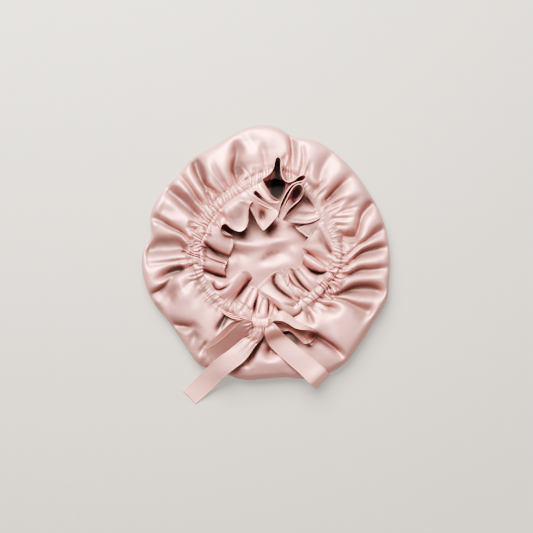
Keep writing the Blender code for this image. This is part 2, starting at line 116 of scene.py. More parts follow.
# How far the folds lean round the crown from the casing to the rim.
LEANS = [
    Lean(0, 14), Lean(12, 9), Lean(25, 4), Lean(45, 3.5), Lean(62, 5), Lean(78, 5), Lean(95, 4),
    Lean(108, -5), Lean(118, -6), Lean(132, -3), Lean(150, -8), Lean(170, -9), Lean(186, -3),
    Lean(200, 4), Lean(218, 6), Lean(238, -2), Lean(262, -4), Lean(275, 4), Lean(298, 7), Lean(318, 13),
    Lean(338, 14), Lean(350, 15),
]

# The valleys between the puffs, each as the marks along it: the angle and radius of its line there, its
# depth, and how far its sides reach clockwise (low) and counterclockwise (high).
CREASES = [
    [(353, 105.5, 3, 2, 2), (358, 114.8, 4, 2.5, 2.5), (1, 121.5, 4.5, 2.5, 2.5), (3.5, 130.8, 5, 3.5, 3),
     (6.5, 141.5, 6, 6, 5), (8, 150.9, 6, 7, 5.5), (9, 158.9, 4.5, 7, 6)],
    [(12.5, 92.1, 8, 3, 3), (8.5, 100.1, 9, 4, 4), (6, 106.8, 9, 5, 5), (5, 113.5, 8, 7, 7),
     (7, 118.8, 7, 8, 8), (12, 124.2, 7, 8, 8), (17, 129.5, 7, 8, 8), (19.5, 136.2, 7, 8, 7),
     (21.5, 146.8, 6.5, 8, 6), (22.5, 156.2, 4, 7, 6)],
    [(17.2, 94.8, 3.2, 1.7, 1.7), (16, 101.5, 3.2, 1.9, 1.9), (15, 108.1, 1, 2, 2)],
    [(24, 89.4, 2, 1.8, 1.8), (22.5, 97.5, 3, 2, 2), (20.5, 106.8, 2.6, 2.2, 2.2),
     (19, 117.5, 1, 2.5, 2.5)],
    [(25, 101.5, 1.5, 2, 2), (25, 113.5, 3, 2.6, 2.6), (24, 122.8, 3, 3, 3), (24, 132.2, 1, 3.5, 3.5)],
    [(28.5, 94.8, 2.5, 1.7, 1.7), (28.5, 102.8, 2.5, 1.8, 1.8), (28.5, 110.8, 0.5, 2, 2)],
    [(27, 114.8, 1.5, 5, 5), (27.5, 126.8, 2.8, 6, 6), (27.5, 137.5, 1, 6, 6)],
    [(33, 92.1, 5, 2, 2), (32.5, 102.8, 5, 2.3, 2.3), (32, 112.1, 3.5, 2.5, 2.5), (31.5, 120.1, 1, 3, 3)],
    [(36.6, 93.5, 5, 1.6, 1.6), (36.3, 100.1, 4.5, 1.7, 1.7), (36, 106.8, 1, 2, 2)],
    [(38, 93.5, 5, 2.2, 2.2), (38.3, 100.1, 9, 4, 3), (38.8, 109.5, 10, 5, 4), (39.5, 120.1, 9, 6, 4.5),
     (40, 129.5, 6, 6.5, 5), (40, 141.5, 3, 8, 7), (40.5, 153.5, 2.5, 9, 8)],
    [(44.5, 93.5, 2.5, 2, 2), (44.5, 101.5, 2.5, 2.5, 2.5), (44.5, 109.5, 1, 3, 3)],
    [(50, 92.1, 6.5, 2.2, 2.2), (49.6, 101.5, 6, 2.4, 2.4), (49.3, 110.8, 3, 2.8, 2.8),
     (49, 116.1, 1, 3, 3)],
    [(52, 112.1, 3, 5, 7), (54, 122.8, 4, 8, 9), (55, 136.2, 4, 9, 9), (55, 149.5, 3, 9, 9)],
    [(58.6, 93.5, 4.5, 2, 2), (58.8, 98.8, 3, 2, 2), (59, 105.5, 1, 2, 2)],
    [(61, 105.5, 2, 2, 2), (62, 114.8, 3, 2.6, 2.6), (62.5, 124.2, 1, 3, 3)],
    [(65.5, 106.8, 2, 2, 2), (66.3, 117.5, 3, 2.2, 2.2), (68, 128.2, 3.2, 2.4, 2.4),
     (70, 137.5, 2.5, 3, 3), (71, 146.8, 0.5, 3, 3)],
    [(70, 93.5, 3, 1.8, 1.8), (71.5, 104.1, 3, 2, 2), (72.5, 117.5, 3, 2.4, 2.4), (74, 129.5, 3, 3.4, 3),
     (76, 142.8, 2.5, 4, 3.5)],
    [(74.5, 112.1, 3, 5, 1.3), (75.3, 120.1, 5, 6, 1), (76.3, 130.8, 6, 7, 1), (78, 142.8, 6.5, 7, 1),
     (79.3, 152.2, 6, 6, 1)],
    [(80, 112.1, 3.5, 1.4, 1.4), (79, 118.8, 3.5, 1.4, 1.4), (77.6, 125.5, 0.5, 1.6, 1.6)],
    [(91, 104.1, 1.5, 4, 4), (91.5, 117.5, 2.5, 5, 5), (92.5, 128.2, 2.6, 6, 6), (93, 138.8, 0.6, 6, 6)],
    [(98, 130.8, 1, 7, 7), (99, 141.5, 2.6, 9, 9), (100, 150.9, 2.2, 9, 9), (100, 158.9, 0.8, 9, 9)],
    [(117, 88.1, 7, 3, 2.2), (116, 94.8, 9, 4, 2.4), (114.5, 102.8, 11, 10, 3.2),
     (113.5, 110.8, 11, 12, 3.5), (111.5, 118.8, 9, 10, 4), (109, 125.5, 8, 8, 5),
     (107.3, 133.5, 7, 8, 6), (106.5, 141.5, 4, 7, 6), (106, 148.2, 0.5, 7, 6)],
    [(103, 90.8, 1.5, 1.2, 1.2), (105, 102.8, 2, 1.4, 1.4), (107.5, 114.8, 1.5, 1.5, 1.5)],
    [(99.5, 90.8, 1.5, 1.8, 1.8), (99.5, 101.5, 1.5, 2, 2)],
    [(95, 90.8, 1.8, 1.8, 1.8), (95, 98.8, 1, 2, 2)],
    [(123.4, 88.1, 6, 1.8, 1.8), (123.8, 98.8, 5, 2, 2), (124, 112.1, 4, 2.6, 2.2),
     (123.8, 124.2, 2.5, 3.5, 2.6), (123, 134.8, 0.5, 4, 3)],
    [(119.5, 88.1, 3, 1.6, 1.6), (119.5, 96.1, 1, 2, 2)],
    [(129, 85.4, 2.5, 1.7, 1.7), (128.6, 96.1, 3, 2, 2), (128.3, 106.8, 2, 2.6, 2.6),
     (128.3, 117.5, 0.5, 3, 3)],
    [(132, 84.1, 5, 1.8, 1.8), (132.8, 94.8, 6, 2, 2), (134, 105.5, 7, 2.2, 2.2),
     (135.4, 114.8, 9, 2.8, 2.6), (135, 121.5, 10, 4, 3.4), (133.4, 130.8, 10, 6, 4.6),
     (131.8, 140.2, 10, 8, 5.2), (130.5, 149.5, 8, 11, 5.5), (130, 154.9, 5, 12, 6)],
    [(143.5, 84.1, 5, 1.8, 1.8), (141.5, 94.8, 6.5, 2, 2), (139, 104.1, 7, 2.2, 2.2),
     (136.6, 112.1, 8, 2.4, 2.4), (135.5, 117.5, 6, 2.6, 2.6)],
    [(148, 86.8, 4, 1.8, 1.8), (147.2, 94.8, 5, 2.2, 2), (146.6, 102.8, 6.5, 3, 2.4),
     (145.5, 110.8, 6.5, 3.2, 2.6), (143.9, 120.1, 6.5, 3.2, 2.6), (142.4, 129.5, 6, 3.4, 2.8),
     (141.4, 138.8, 5.5, 3.4, 2.8), (140.8, 149.5, 4, 3.6, 3)],
    [(158.5, 88.1, 6, 2, 2), (157.4, 94.8, 9, 3.6, 3), (155.5, 104.1, 10.5, 6, 4.6),
     (153.8, 113.5, 10, 8, 6), (152.5, 124.2, 9.5, 9, 7), (151, 136.2, 9.5, 9, 7), (150, 149.5, 8, 8, 7),
     (149.5, 157.5, 5, 8, 7)],
    [(152.5, 88.1, 3, 1.7, 1.7), (152.5, 94.8, 1, 2, 2)],
    [(163.8, 88.1, 6, 1.8, 1.8), (163.2, 96.1, 5.5, 2, 2), (162.3, 104.1, 2, 2.4, 2.4)],
    [(167.7, 88.1, 6, 2, 2), (167, 96.1, 6, 2.3, 2.3), (166.2, 105.5, 2, 2.6, 2.6)],
    [(158.5, 120.1, 1, 8, 8), (160.5, 133.5, 3, 11, 10), (160.5, 146.8, 3, 11, 10)],
    [(175, 90.8, 10, 2.2, 2), (174.8, 98.8, 10, 2.4, 2), (175, 104.1, 9, 2.6, 2.2),
     (172.6, 108.1, 7.5, 2.4, 2.4), (170.8, 113.5, 7, 2.4, 2.4), (169.4, 121.5, 6.5, 2.6, 2.4),
     (168.3, 130.8, 6.5, 3.6, 2.6), (167, 140.2, 6.5, 5, 3), (166.2, 149.5, 6.5, 6, 3.2),
     (166.2, 158.9, 5, 6, 3.4)],
    [(182.5, 109.5, 10, 7, 4), (181, 114.8, 12, 11, 5), (180.6, 122.8, 13, 12, 6.5),
     (180.6, 133.5, 13, 12, 8), (180.8, 146.8, 12, 12, 8), (181.6, 157.5, 9, 11, 8)],
    [(189.6, 101.5, 4, 2, 2), (189.2, 112.1, 3.6, 2.4, 2.2), (189, 125.5, 3.4, 3, 2.4),
     (189, 141.5, 3.4, 4, 2.6), (188.6, 157.5, 2.6, 5, 3)],
    [(195.3, 101.5, 7, 4, 3.4), (195.2, 108.1, 7, 4.4, 4), (195.6, 113.5, 3, 4, 4)],
    [(195.7, 116.1, 6, 5, 2.6), (195.5, 120.1, 11, 6, 3), (195.3, 129.5, 11, 6.5, 3.6),
     (195.6, 138.8, 8, 5.5, 3.6), (196.2, 146.8, 4, 4.5, 3.6), (196.6, 152.2, 1, 4, 3.6)],
    [(197, 128.2, 2.5, 1.2, 5), (198.8, 136.2, 5, 1.2, 8), (200.4, 144.2, 6, 1.2, 9),
     (201.3, 153.5, 6.5, 1.2, 10), (201.6, 166.9, 5, 1.2, 10)],
    [(205, 130.8, 2, 8, 10), (207, 144.2, 4.2, 11, 12), (208.5, 155, 3, 13, 14), (209, 164, 0.8, 14, 15)],
    [(227, 141.5, 2, 5, 5), (224.6, 149.5, 7, 7, 6), (221.6, 157.5, 7.5, 8, 7), (219.6, 164.2, 5, 8, 8)],
    [(229, 141.5, 2, 6, 6), (231, 152.2, 3.8, 7, 7), (232, 163, 2, 8, 8), (232.4, 171, 0.5, 8, 8)],
    [(237.6, 152.2, 4, 1.6, 1.6), (237.8, 161.5, 3.6, 1.8, 1.8), (238, 168, 1, 2.2, 2.2)],
    [(204, 106.8, 1.5, 3, 3), (206, 117.5, 2, 5, 5), (208, 128.2, 1, 6, 6)],
    [(209, 98.8, 3, 1.8, 1.8), (209, 105.5, 1, 2, 2)],
    [(215.5, 97.5, 3, 1.8, 1.8), (215.5, 105.5, 2, 2, 2), (216, 112.1, 0.5, 2.6, 2.6)],
    [(222, 96.1, 3.5, 1.8, 1.8), (222, 104.1, 1.5, 2, 2)],
    [(228, 94.8, 6, 2, 2), (228, 100.1, 5, 2, 2), (227, 106.8, 1, 2.4, 2.4)],
    [(233, 96.1, 3, 1.8, 1.8), (232.5, 104.1, 1.5, 2, 2)],
    [(239, 100.1, 4, 2, 2), (239.5, 113.5, 3.5, 2.6, 2.6), (240, 126.8, 2, 3, 3)],
    [(264.6, 122.8, 6, 3, 3), (263.2, 129.5, 8.5, 3.4, 3), (261.8, 137.5, 7.5, 4, 3.6),
     (260.6, 146.8, 5, 5, 4.4), (260, 157.5, 2.5, 6, 5)],
    [(272, 129.5, 4, 4, 5), (271.6, 137.5, 8, 5, 7), (271.4, 145.5, 3, 6, 8)],
    [(254, 160.2, 1, 7, 7), (253, 173.5, 2.4, 8, 8)],
    [(298, 133.5, 8, 4, 4), (299.8, 138.8, 8.5, 4, 3.4), (301.6, 146.8, 8.5, 3.4, 3),
     (303, 156.2, 8, 3.4, 3), (304, 165.5, 6.5, 3.4, 3), (304.4, 174.9, 3, 3.6, 3.4)],
    [(303, 94.8, 4, 2, 2), (301.6, 104.1, 4.6, 3, 2.6), (300.6, 114.8, 3, 4, 3)],
    [(309, 92.1, 4.5, 2, 2), (307.8, 100.1, 4.5, 2.2, 2.2), (308.2, 108.1, 1.5, 3, 2.6)],
    [(311.3, 92.1, 4, 1.7, 1.7), (311.3, 101.5, 4, 1.8, 1.8)],
    [(310.5, 97.5, 4, 2.4, 2), (313, 105.5, 6.5, 4.4, 3), (315.8, 113.5, 7.5, 6.5, 4.4),
     (317.2, 120.1, 5.5, 7, 5), (317.6, 126.8, 1.5, 7, 6)],
    [(315.5, 93.5, 4, 1.8, 1.8), (318, 101.5, 4, 2, 2), (321, 109.5, 4.6, 2.2, 2.2),
     (323.8, 117.5, 5, 2.4, 2.4), (325.2, 125.5, 5.4, 2.6, 2.6), (325.8, 134.8, 5.6, 3.4, 3.4),
     (326.4, 146.8, 5.6, 6, 6), (327.6, 160.2, 5.4, 8, 8)],
    [(320.2, 93.5, 9, 2, 2), (320.3, 100.1, 8, 2.4, 2.4), (320.6, 105.5, 2, 2.6, 2.6)],
    [(323, 106.8, 4, 2.4, 2.4), (327, 113.5, 7, 4, 3), (330.6, 118.8, 9, 6, 4), (333, 124.2, 11, 7.5, 5),
     (335, 130.8, 12, 8.5, 5.6), (336.6, 138.8, 12.5, 9, 5.8), (338, 148.2, 12, 9, 5.8),
     (338.6, 157.5, 10, 8, 5.4), (338.6, 164.2, 5, 8, 5.4)],
    [(329.6, 101.5, 5, 2.2, 2.2), (329.2, 108.1, 5, 3, 3), (329.5, 113.5, 1, 3, 3)],
    [(338.6, 94.8, 5, 1.8, 1.8), (339.6, 102.8, 5, 2, 2), (341, 110.8, 6, 2.6, 2.4),
     (343.2, 118.8, 7, 4.4, 3), (345.2, 124.2, 8, 6, 3.8), (346.4, 130.8, 8, 6.4, 4.4),
     (347.6, 141.5, 7.5, 6.4, 4.6), (349, 152.2, 6, 6.6, 5), (350, 161.5, 3.6, 7, 5)],
    [(341.3, 98.8, 6, 2, 2), (346, 105.5, 6, 2, 2), (350, 112.1, 6.5, 2.6, 2.4),
     (353, 117.5, 7.5, 4, 3.2), (355.6, 124.2, 9, 6.4, 4), (357.2, 132.2, 9.6, 7.4, 4.6),
     (358.4, 141.5, 9.6, 8, 5), (359.4, 150.9, 8.5, 8, 5.4), (359.8, 158.9, 5, 8, 5.4)],
    [(334.5, 94.8, 5, 1.8, 1.8), (335.5, 101.5, 3.5, 2, 2), (337, 106.8, 1, 2.2, 2.2)],
    [(326.5, 94.8, 5, 1.8, 1.8), (326.5, 101.5, 4, 2, 2)],
    [(346.8, 93.5, 5, 1.8, 1.8), (347.5, 100.1, 3, 2, 2)],
    [(353.3, 90.8, 7, 2, 2), (353.2, 100.1, 6, 2, 2), (353, 105.5, 1.5, 2.2, 2.2)],
    [(0.8, 90.8, 4, 1.8, 1.8), (0.8, 100.1, 4, 1.8, 1.8)],
    [(5, 90.8, 3, 1.8, 1.8), (4, 97.5, 2, 2, 2)],
]
CREASE_LIMIT = 21.0  # where valleys meet, they go no deeper
CREASE_SCALE = 2.5
VALLEY_POWER = 2.1
VALLEY_JOIN = 1.3  # above 1, valleys that overlap don't add up to their whole depths
SHADE_FROM = 3.0  # how deep the cloth lies in a valley, in millimetres, before its painted shade starts
SHADE_SPAN = 14.0
SHADE_MOST = 0.64
CREASE_FADE = 6.0  # the length over which a valley runs out past its first and last mark
MAP_ANGLES = 1800  # the grid of angles and radii on which the valleys are worked out once
MAP_RADII = np.arange(78.0, 192.0)
MAP_SOFTEN = 14  # passes that soften it

DIMPLES = 110
DIMPLE_SEED = 5
DIMPLE_HEIGHT = 0.9
DIMPLE_RING = (108, 165)  # the radii between which the dimples lie
DIMPLE_LENGTH = (9, 20)
DIMPLE_NARROW = (0.35, 0.7)  # their width as a share of their length
DIMPLE_TURN = 28
DIMPLE_FROM, DIMPLE_SPAN = 8.0, 14.0  # they set in at this distance outside the casing

# ---------------------------------------------------------------- the gathered band

# The puckers that the elastic draws up: how strong they are round the casing.
DRAWS = [
    Draw(0, 0.8), Draw(15, 0.45), Draw(30, 0.38), Draw(45, 0.38), Draw(60, 0.45), Draw(70, 0.6),
    Draw(79, 1.25), Draw(90, 0.8), Draw(98, 0.65), Draw(110, 0.8), Draw(135, 0.9), Draw(152, 1.2),
    Draw(170, 1.5), Draw(190, 1.5), Draw(203, 0.8), Draw(220, 0.6), Draw(245, 0.6), Draw(270, 0.6),
    Draw(292, 0.6), Draw(308, 0.8), Draw(325, 1.4), Draw(342, 1.4),
]
RIDGES = 150  # the small round ridges of cloth between the puckers
RIDGE_SEED = 11
RIDGE_SPREAD = 13.0  # how far they run to both sides of the casing's middle
RIDGE_TIP = 9.0  # the length over which they run out
RIDGE_TALL = 2.8
RIDGE_FINE = 0.25  # the width, before the draw widens it
RIDGE_SLANT = 0.3
RIDGE_DRAWN = (0.3, 1.3)  # the strengths between which the draw changes their width
RIDGE_WIDTHS = (0.55, 1.5)  # the random share of their width
RIDGE_UNEVEN = (0.6, 1.25)  # the random share of their height
RIDGE_WEAK = 0.75  # below this strength some of them are short
RIDGE_SHORT, RIDGE_LONG = -0.1, 0.7  # the least reach of weak and of strong ones, as a share of the spread
RIDGE_OUTWARD, RIDGE_INWARD = 1.5, 1.3  # and their greatest
RIDGE_ROUND = 2.4
STITCH_AT = 4.9  # the two rows of stitches, from the casing's middle
STITCH_HALF = 0.8
PINCH = 0.35  # how much lower the ridges are at the stitches
GAP_SHADE = 0.8
GAP_FADE = 9.0
GAP_FULL = 0.8  # the share of a ridge's height above which a place isn't a gap
GATHER_TURNS = 1480
GATHER_ROWS = 56  # rows of the gathered band from the ruffle's side out over the crown
GATHER_OUT = 30.0  # how far it runs out past the casing's middle
GATHER_TUCK = 1.2  # how far its outer end is tucked under
GATHER_CLEAR = 1.6  # how far the crown stays below it
CLEAR_TO, CLEAR_FADE = 5.0, 6.0  # it stays below up to this far inside the band's outer end
TUCK_FADE = 4.0
TUNNEL_HALF = CASING_WIDTH / 2 + 0.5
TUNNEL_RISE = 0.5
LIP_DROP = 2.2
BAND_DROP = 3.0  # how far the band's edges turn down
BAND_LEVELS, BAND_STEPS = 6, 200  # the rows of LEVELS that it follows, and in how many steps
CASING_RISE = 1.8
# How far inside the casing's edge the tunnel starts to run into the crown, the least length that it takes for
# it, and how much is added where the elastic draws little.
JOIN_IN, JOIN_LEAST = 3.0, 5.0
JOIN_SPREAD = 18.0
FLAT_TURN = 0.2  # metres of the cloth's own coordinate to a radian, on the band and the ruffle

# Where the underside stands off the table.
SWELLS = [
    Swell(-34, 62, 60, 20, 20, 3.2), Swell(48, -58, 55, 22, -35, 3.0), Swell(70, 55, 46, 20, 40, 2.6),
    Swell(-72, -42, 50, 20, -20, 2.8),
    Swell(0, -8, 72, 34, 0, 5), Swell(-30, 3, 24, 7, -8, 4.5), Swell(14, 8, 26, 7, 6, 5.5),
    Swell(38, -6, 13, 8, -50, 4.5), Swell(7.5, -11.5, 14, 5, 23, -7), Swell(-34, -10, 11, 7, -35, -4),
    Swell(14, -24, 22, 6, 10, 3.5), Swell(-48, -22, 10, 8, 30, 2.5), Swell(26, 24, 16, 8, -20, 3),
]

# ---------------------------------------------------------------- the ruffle

# The ruffle's free edge, followed counterclockwise: the casing angle that it hangs from, where the edge
# lies and how high, how far the cloth billows up on the way, how far it first dips inwards where it stands
# up, and how much higher it leaves the casing.
HEMS = [
    Hem(355, 47.1, -1.7, 22, 0, 0, 6), Hem(1, 49.6, 4.5, 24, 0, 0, 8), Hem(8, 53.9, 11.3, 26, 0, 0, 8),
    Hem(15, 61.3, 22.4, 26, 0, 0, 6), Hem(21, 68.7, 33.1, 26, 0, 0, 3), Hem(24, 63.8, 21.2, 19),
    Hem(26, 55.2, 13.1, 18), Hem(28, 47.1, 17.6, 18), Hem(30, 40.3, 22.8, 18), Hem(32, 37.6, 28.6, 18),
    Hem(34, 45.9, 30.4, 19), Hem(36, 58.9, 31.9, 21), Hem(37.5, 69.1, 36.4, 26), Hem(39, 68.7, 37.5, 28),
    Hem(42, 63.2, 34.1, 27, 2), Hem(45, 52.1, 30.9, 26, 3), Hem(48.5, 34.8, 31.4, 27, 3),
    Hem(51, 25.5, 33.6, 29, 1), Hem(53, 20.8, 35.1, 34, 0, 2), Hem(54.3, 23.4, 40.1, 40, 0, 12),
    Hem(55.3, 27.7, 48, 44, 0, 18), Hem(56.3, 34.8, 54.9, 46, 0, 22), Hem(57.3, 41.6, 60.4, 47, 0, 26),
    Hem(58.3, 46.1, 66.9, 48, 0, 28), Hem(59.4, 47.9, 73.7, 49, 0, 30), Hem(60.6, 45.9, 79.1, 50, 0, 30),
    Hem(62, 41, 81.3, 50, 0, 30), Hem(63.2, 34.8, 77.7, 49, 0, 30), Hem(64.3, 28.6, 68.1, 48, 0, 26),
    Hem(65.4, 21.8, 53.3, 45, 0, 18), Hem(66.4, 16.9, 41.5, 40, 0, 8), Hem(67.4, 14.7, 37.6, 36, 0, 2),
    Hem(68.4, 14.2, 41.5, 41, 0, 4), Hem(69.4, 18.1, 56.4, 46, 0, 12), Hem(70.4, 24.3, 69.3, 48, 0, 20),
    Hem(71.4, 31.7, 79.6, 49, 0, 26), Hem(72.4, 39.7, 83.8, 49, 0, 28), Hem(73.3, 47.1, 85.6, 49, 0, 20),
    Hem(74.1, 50.8, 89.7, 49, 0, 12), Hem(74.9, 48.6, 93.4, 49, 0, 6), Hem(75.8, 42.2, 91.8, 49, 0, 2),
    Hem(76.8, 34.8, 86.4, 48), Hem(77.8, 27.4, 84.2, 48), Hem(78.8, 21.6, 88.3, 48),
    Hem(79.8, 18.9, 95.9, 47), Hem(80.8, 18.2, 104.5, 47), Hem(81.8, 18.6, 111.5, 46),
    Hem(82.5, 17.2, 115.6, 46), Hem(83.2, 14.2, 117.2, 46), Hem(84, 11.4, 115.4, 46),
    Hem(85, 9.8, 110.2, 46), Hem(86.4, 8.4, 103.5, 46), Hem(88.4, 4.6, 96.5, 46),
    Hem(90.4, -1.5, 91.5, 45), Hem(92, -5.9, 88, 44), Hem(93, -4, 82.5, 42), Hem(94, 0.8, 73.7, 38),
    Hem(95, 6.6, 64.8, 34), Hem(96, 14.8, 60.3, 31), Hem(97, 17, 58.7, 30), Hem(98, 11.3, 57.1, 30, 1),
    Hem(99, 2.7, 59, 31, 1), Hem(100, -5.1, 64.8, 32, 1), Hem(101.3, -10.7, 70.9, 33),
    Hem(102.6, -15.2, 73.7, 31), Hem(104, -18.9, 66.9, 27, -2, 0, 8),
    Hem(105, -15.8, 60.7, 26, -3, 0, 10), Hem(106, -7, 55, 26, -3, 0, 11),
    Hem(107, 2.7, 50.4, 26, -3, 0, 11), Hem(108, 9.8, 48.7, 26, -3, 0, 10),
    Hem(109, 14, 46.2, 27, -3, 0, 9), Hem(110, 13.3, 40.3, 30, -13, 0, 9),
    Hem(111, 5.4, 31, 30, -17, 0, 9), Hem(112, -2, 23.4, 30, -19, 0, 9),
    Hem(113, -4.6, 21.9, 30, -19, 0, 9), Hem(114.2, -7.9, 25.5, 29, -17, 0, 9),
    Hem(115.6, -11.9, 31.7, 29, -13, 0, 9), Hem(117, -15, 40.3, 28, -4, 0, 10),
    Hem(118.5, -16.7, 50.2, 29, -3, 0, 11), Hem(120, -17.9, 58.6, 33, -2, 0, 11),
    Hem(121.5, -21.7, 56.6, 35, -1, 0, 12), Hem(123, -24.1, 50.2, 33, -3, 0, 14),
    Hem(125, -24.9, 40.3, 31, -5, 0, 16), Hem(127, -24.9, 32.7, 30, -6, 0, 17),
    Hem(130, -27.9, 24.9, 29, -6, 0, 17), Hem(133, -33.8, 20.3, 29, -6, 0, 17),
    Hem(136, -41.2, 21, 29, -6, 0, 16), Hem(139, -47.3, 24.3, 31, -4, 2, 14),
    Hem(141.5, -51.7, 28.3, 34, -2, 6, 11), Hem(144, -56, 30.1, 40, 0, 10),
    Hem(146.5, -59.7, 27.7, 40, 0, 10), Hem(149, -61.2, 22.4, 38, 0, 8),
    Hem(151.5, -59.4, 17.8, 34, 0, 4), Hem(154, -53.5, 15.5, 29), Hem(157, -46.1, 14.1, 24, 2),
    Hem(160.5, -45.2, 10.7, 18, 0, 0, 6), Hem(165, -44.6, 7.7, 19, 0, 0, 8),
    Hem(169, -44.6, 3.7, 19, 0, 0, 8), Hem(173, -46.4, -2.7, 19, 0, 0, 7),
    Hem(177, -48.9, -8.8, 16, 0, 0, 4), Hem(180, -50.4, -12.6, 12, 0, 0, -3),
    Hem(183, -51.3, -16.8, 12, 0, 0, -3), Hem(187, -53.4, -21.7, 17, 0, 0, 4),
    Hem(189, -54.7, -23.7, 19, 0, 0, 6), Hem(191, -56.4, -23.9, 20, 0, 0, 7),
    Hem(193.5, -55, -26.6, 20, 0, 0, 7), Hem(196, -56.6, -30.8, 18, 0, 0, 6),
    Hem(199, -54.9, -36.3, 14, 0, 0, -1), Hem(202, -52.9, -41.4, 11, 0, 0, -5),
    Hem(206, -48.5, -43.4, 17, 0, 0, 5), Hem(212, -42, -44.2, 18, 0, 0, 6),
    Hem(218, -41.4, -40.2, 22, 0, 0, 7), Hem(222, -38.8, -34.7, 28, 0, 0, 8),
    Hem(224.5, -34.4, -31.3, 30, 0, 0, 8), Hem(227, -28.7, -31.1, 30, 0, 0, 7),
    Hem(229.5, -23, -34.4, 27, 0, 0, 6), Hem(232, -19.6, -40, 22, 0, 0, 3),
    Hem(235, -21.7, -44.7, 15, 0, 0, -3), Hem(240, -25.1, -48.9, 12, 0, 0, -4),
    Hem(246, -22, -51.1, 18, 0, 0, 3), Hem(251, -16.5, -53.3, 21, 0, 0, 6),
    Hem(254.5, -11.6, -56.4, 21, 0, 0, 6), Hem(256.3, -15.1, -64, 17, 0, 0, 2),
    Hem(257.8, -17.8, -72.1, 13, 0, 0, -4), Hem(259.2, -17.1, -79.5, 10, 0, 0, -8),
    Hem(260.6, -13.6, -69.6, 13, 0, 0, -3), Hem(262.3, -10.7, -61.8, 18, 0, 0, 4),
    Hem(265, -4.7, -64.8, 20, 0, 0, 6), Hem(268, 1.1, -68.5, 19, 0, 0, 5),
    Hem(269.6, 1.8, -75.8, 14, 0, 0, -3), Hem(271, 2.7, -81.9, 10, 0, 0, -8),
    Hem(272.6, 4, -73, 15, 0, 0, 1), Hem(275, 8, -74.5, 18, 0, 0, 4), Hem(278, 13, -78.8, 17, 0, 0, 4),
    Hem(280.5, 15.5, -83, 14, 0, 0, 1), Hem(283.5, 20.4, -83.1, 24, 0, 0, 8),
    Hem(285.5, 12.3, -76.8, 27, 0, 0, 10), Hem(287.5, 2.7, -67.9, 29, 0, 0, 12),
    Hem(289.5, -5.1, -58.7, 30, 0, 0, 12), Hem(291.2, -13, -53.4, 30, 0, 0, 12),
    Hem(293, -6.5, -46.5, 29, 0, 0, 11), Hem(295, 2.7, -38.7, 28, 0, 0, 9),
    Hem(297, 8.9, -33.8, 27, 0, 0, 6), Hem(298.8, 13.8, -32.6, 27, 0, 0, 5),
    Hem(300.3, 16.5, -31.6, 28, 0, 0, 6), Hem(301.6, 19.3, -30.4, 30, 0, 2, 8),
    Hem(302.6, 21.2, -34.4, 32, 0, 4, 10), Hem(303.6, 23.4, -43, 32, 0, 8, 12),
    Hem(304.5, 25.9, -50.1, 32, 0, 10, 12), Hem(305.4, 28.1, -45.5, 32, 0, 8, 12),
    Hem(306.4, 26.6, -36.3, 31, 0, 4, 10), Hem(307.6, 25.2, -29.5, 29, 0, 1, 8),
    Hem(310.5, 28.6, -27.4, 28, 0, 0, 8), Hem(314, 32.9, -27.9, 26, 0, 0, 7),
    Hem(318, 38, -28.4, 25, 0, 0, 6), Hem(322, 41.2, -26.9, 27, 0, 0, 8),
    Hem(326, 43.8, -23.7, 26, 0, 0, 8), Hem(329.5, 46.1, -21.4, 19), Hem(332.5, 47.1, -19, 18, 0, 0, -2),
    Hem(335, 47.9, -15.3, 22, 0, 0, 5), Hem(338, 48.7, -10.6, 22, 0, 0, 6), Hem(341, 47.9, -6.4, 17),
    Hem(344, 51.5, -7.2, 14, 0, 0, -4), Hem(347, 53.9, -6.6, 14, 0, 0, -3),
    Hem(350.5, 49, -3.9, 17, 0, 0, 2),
]

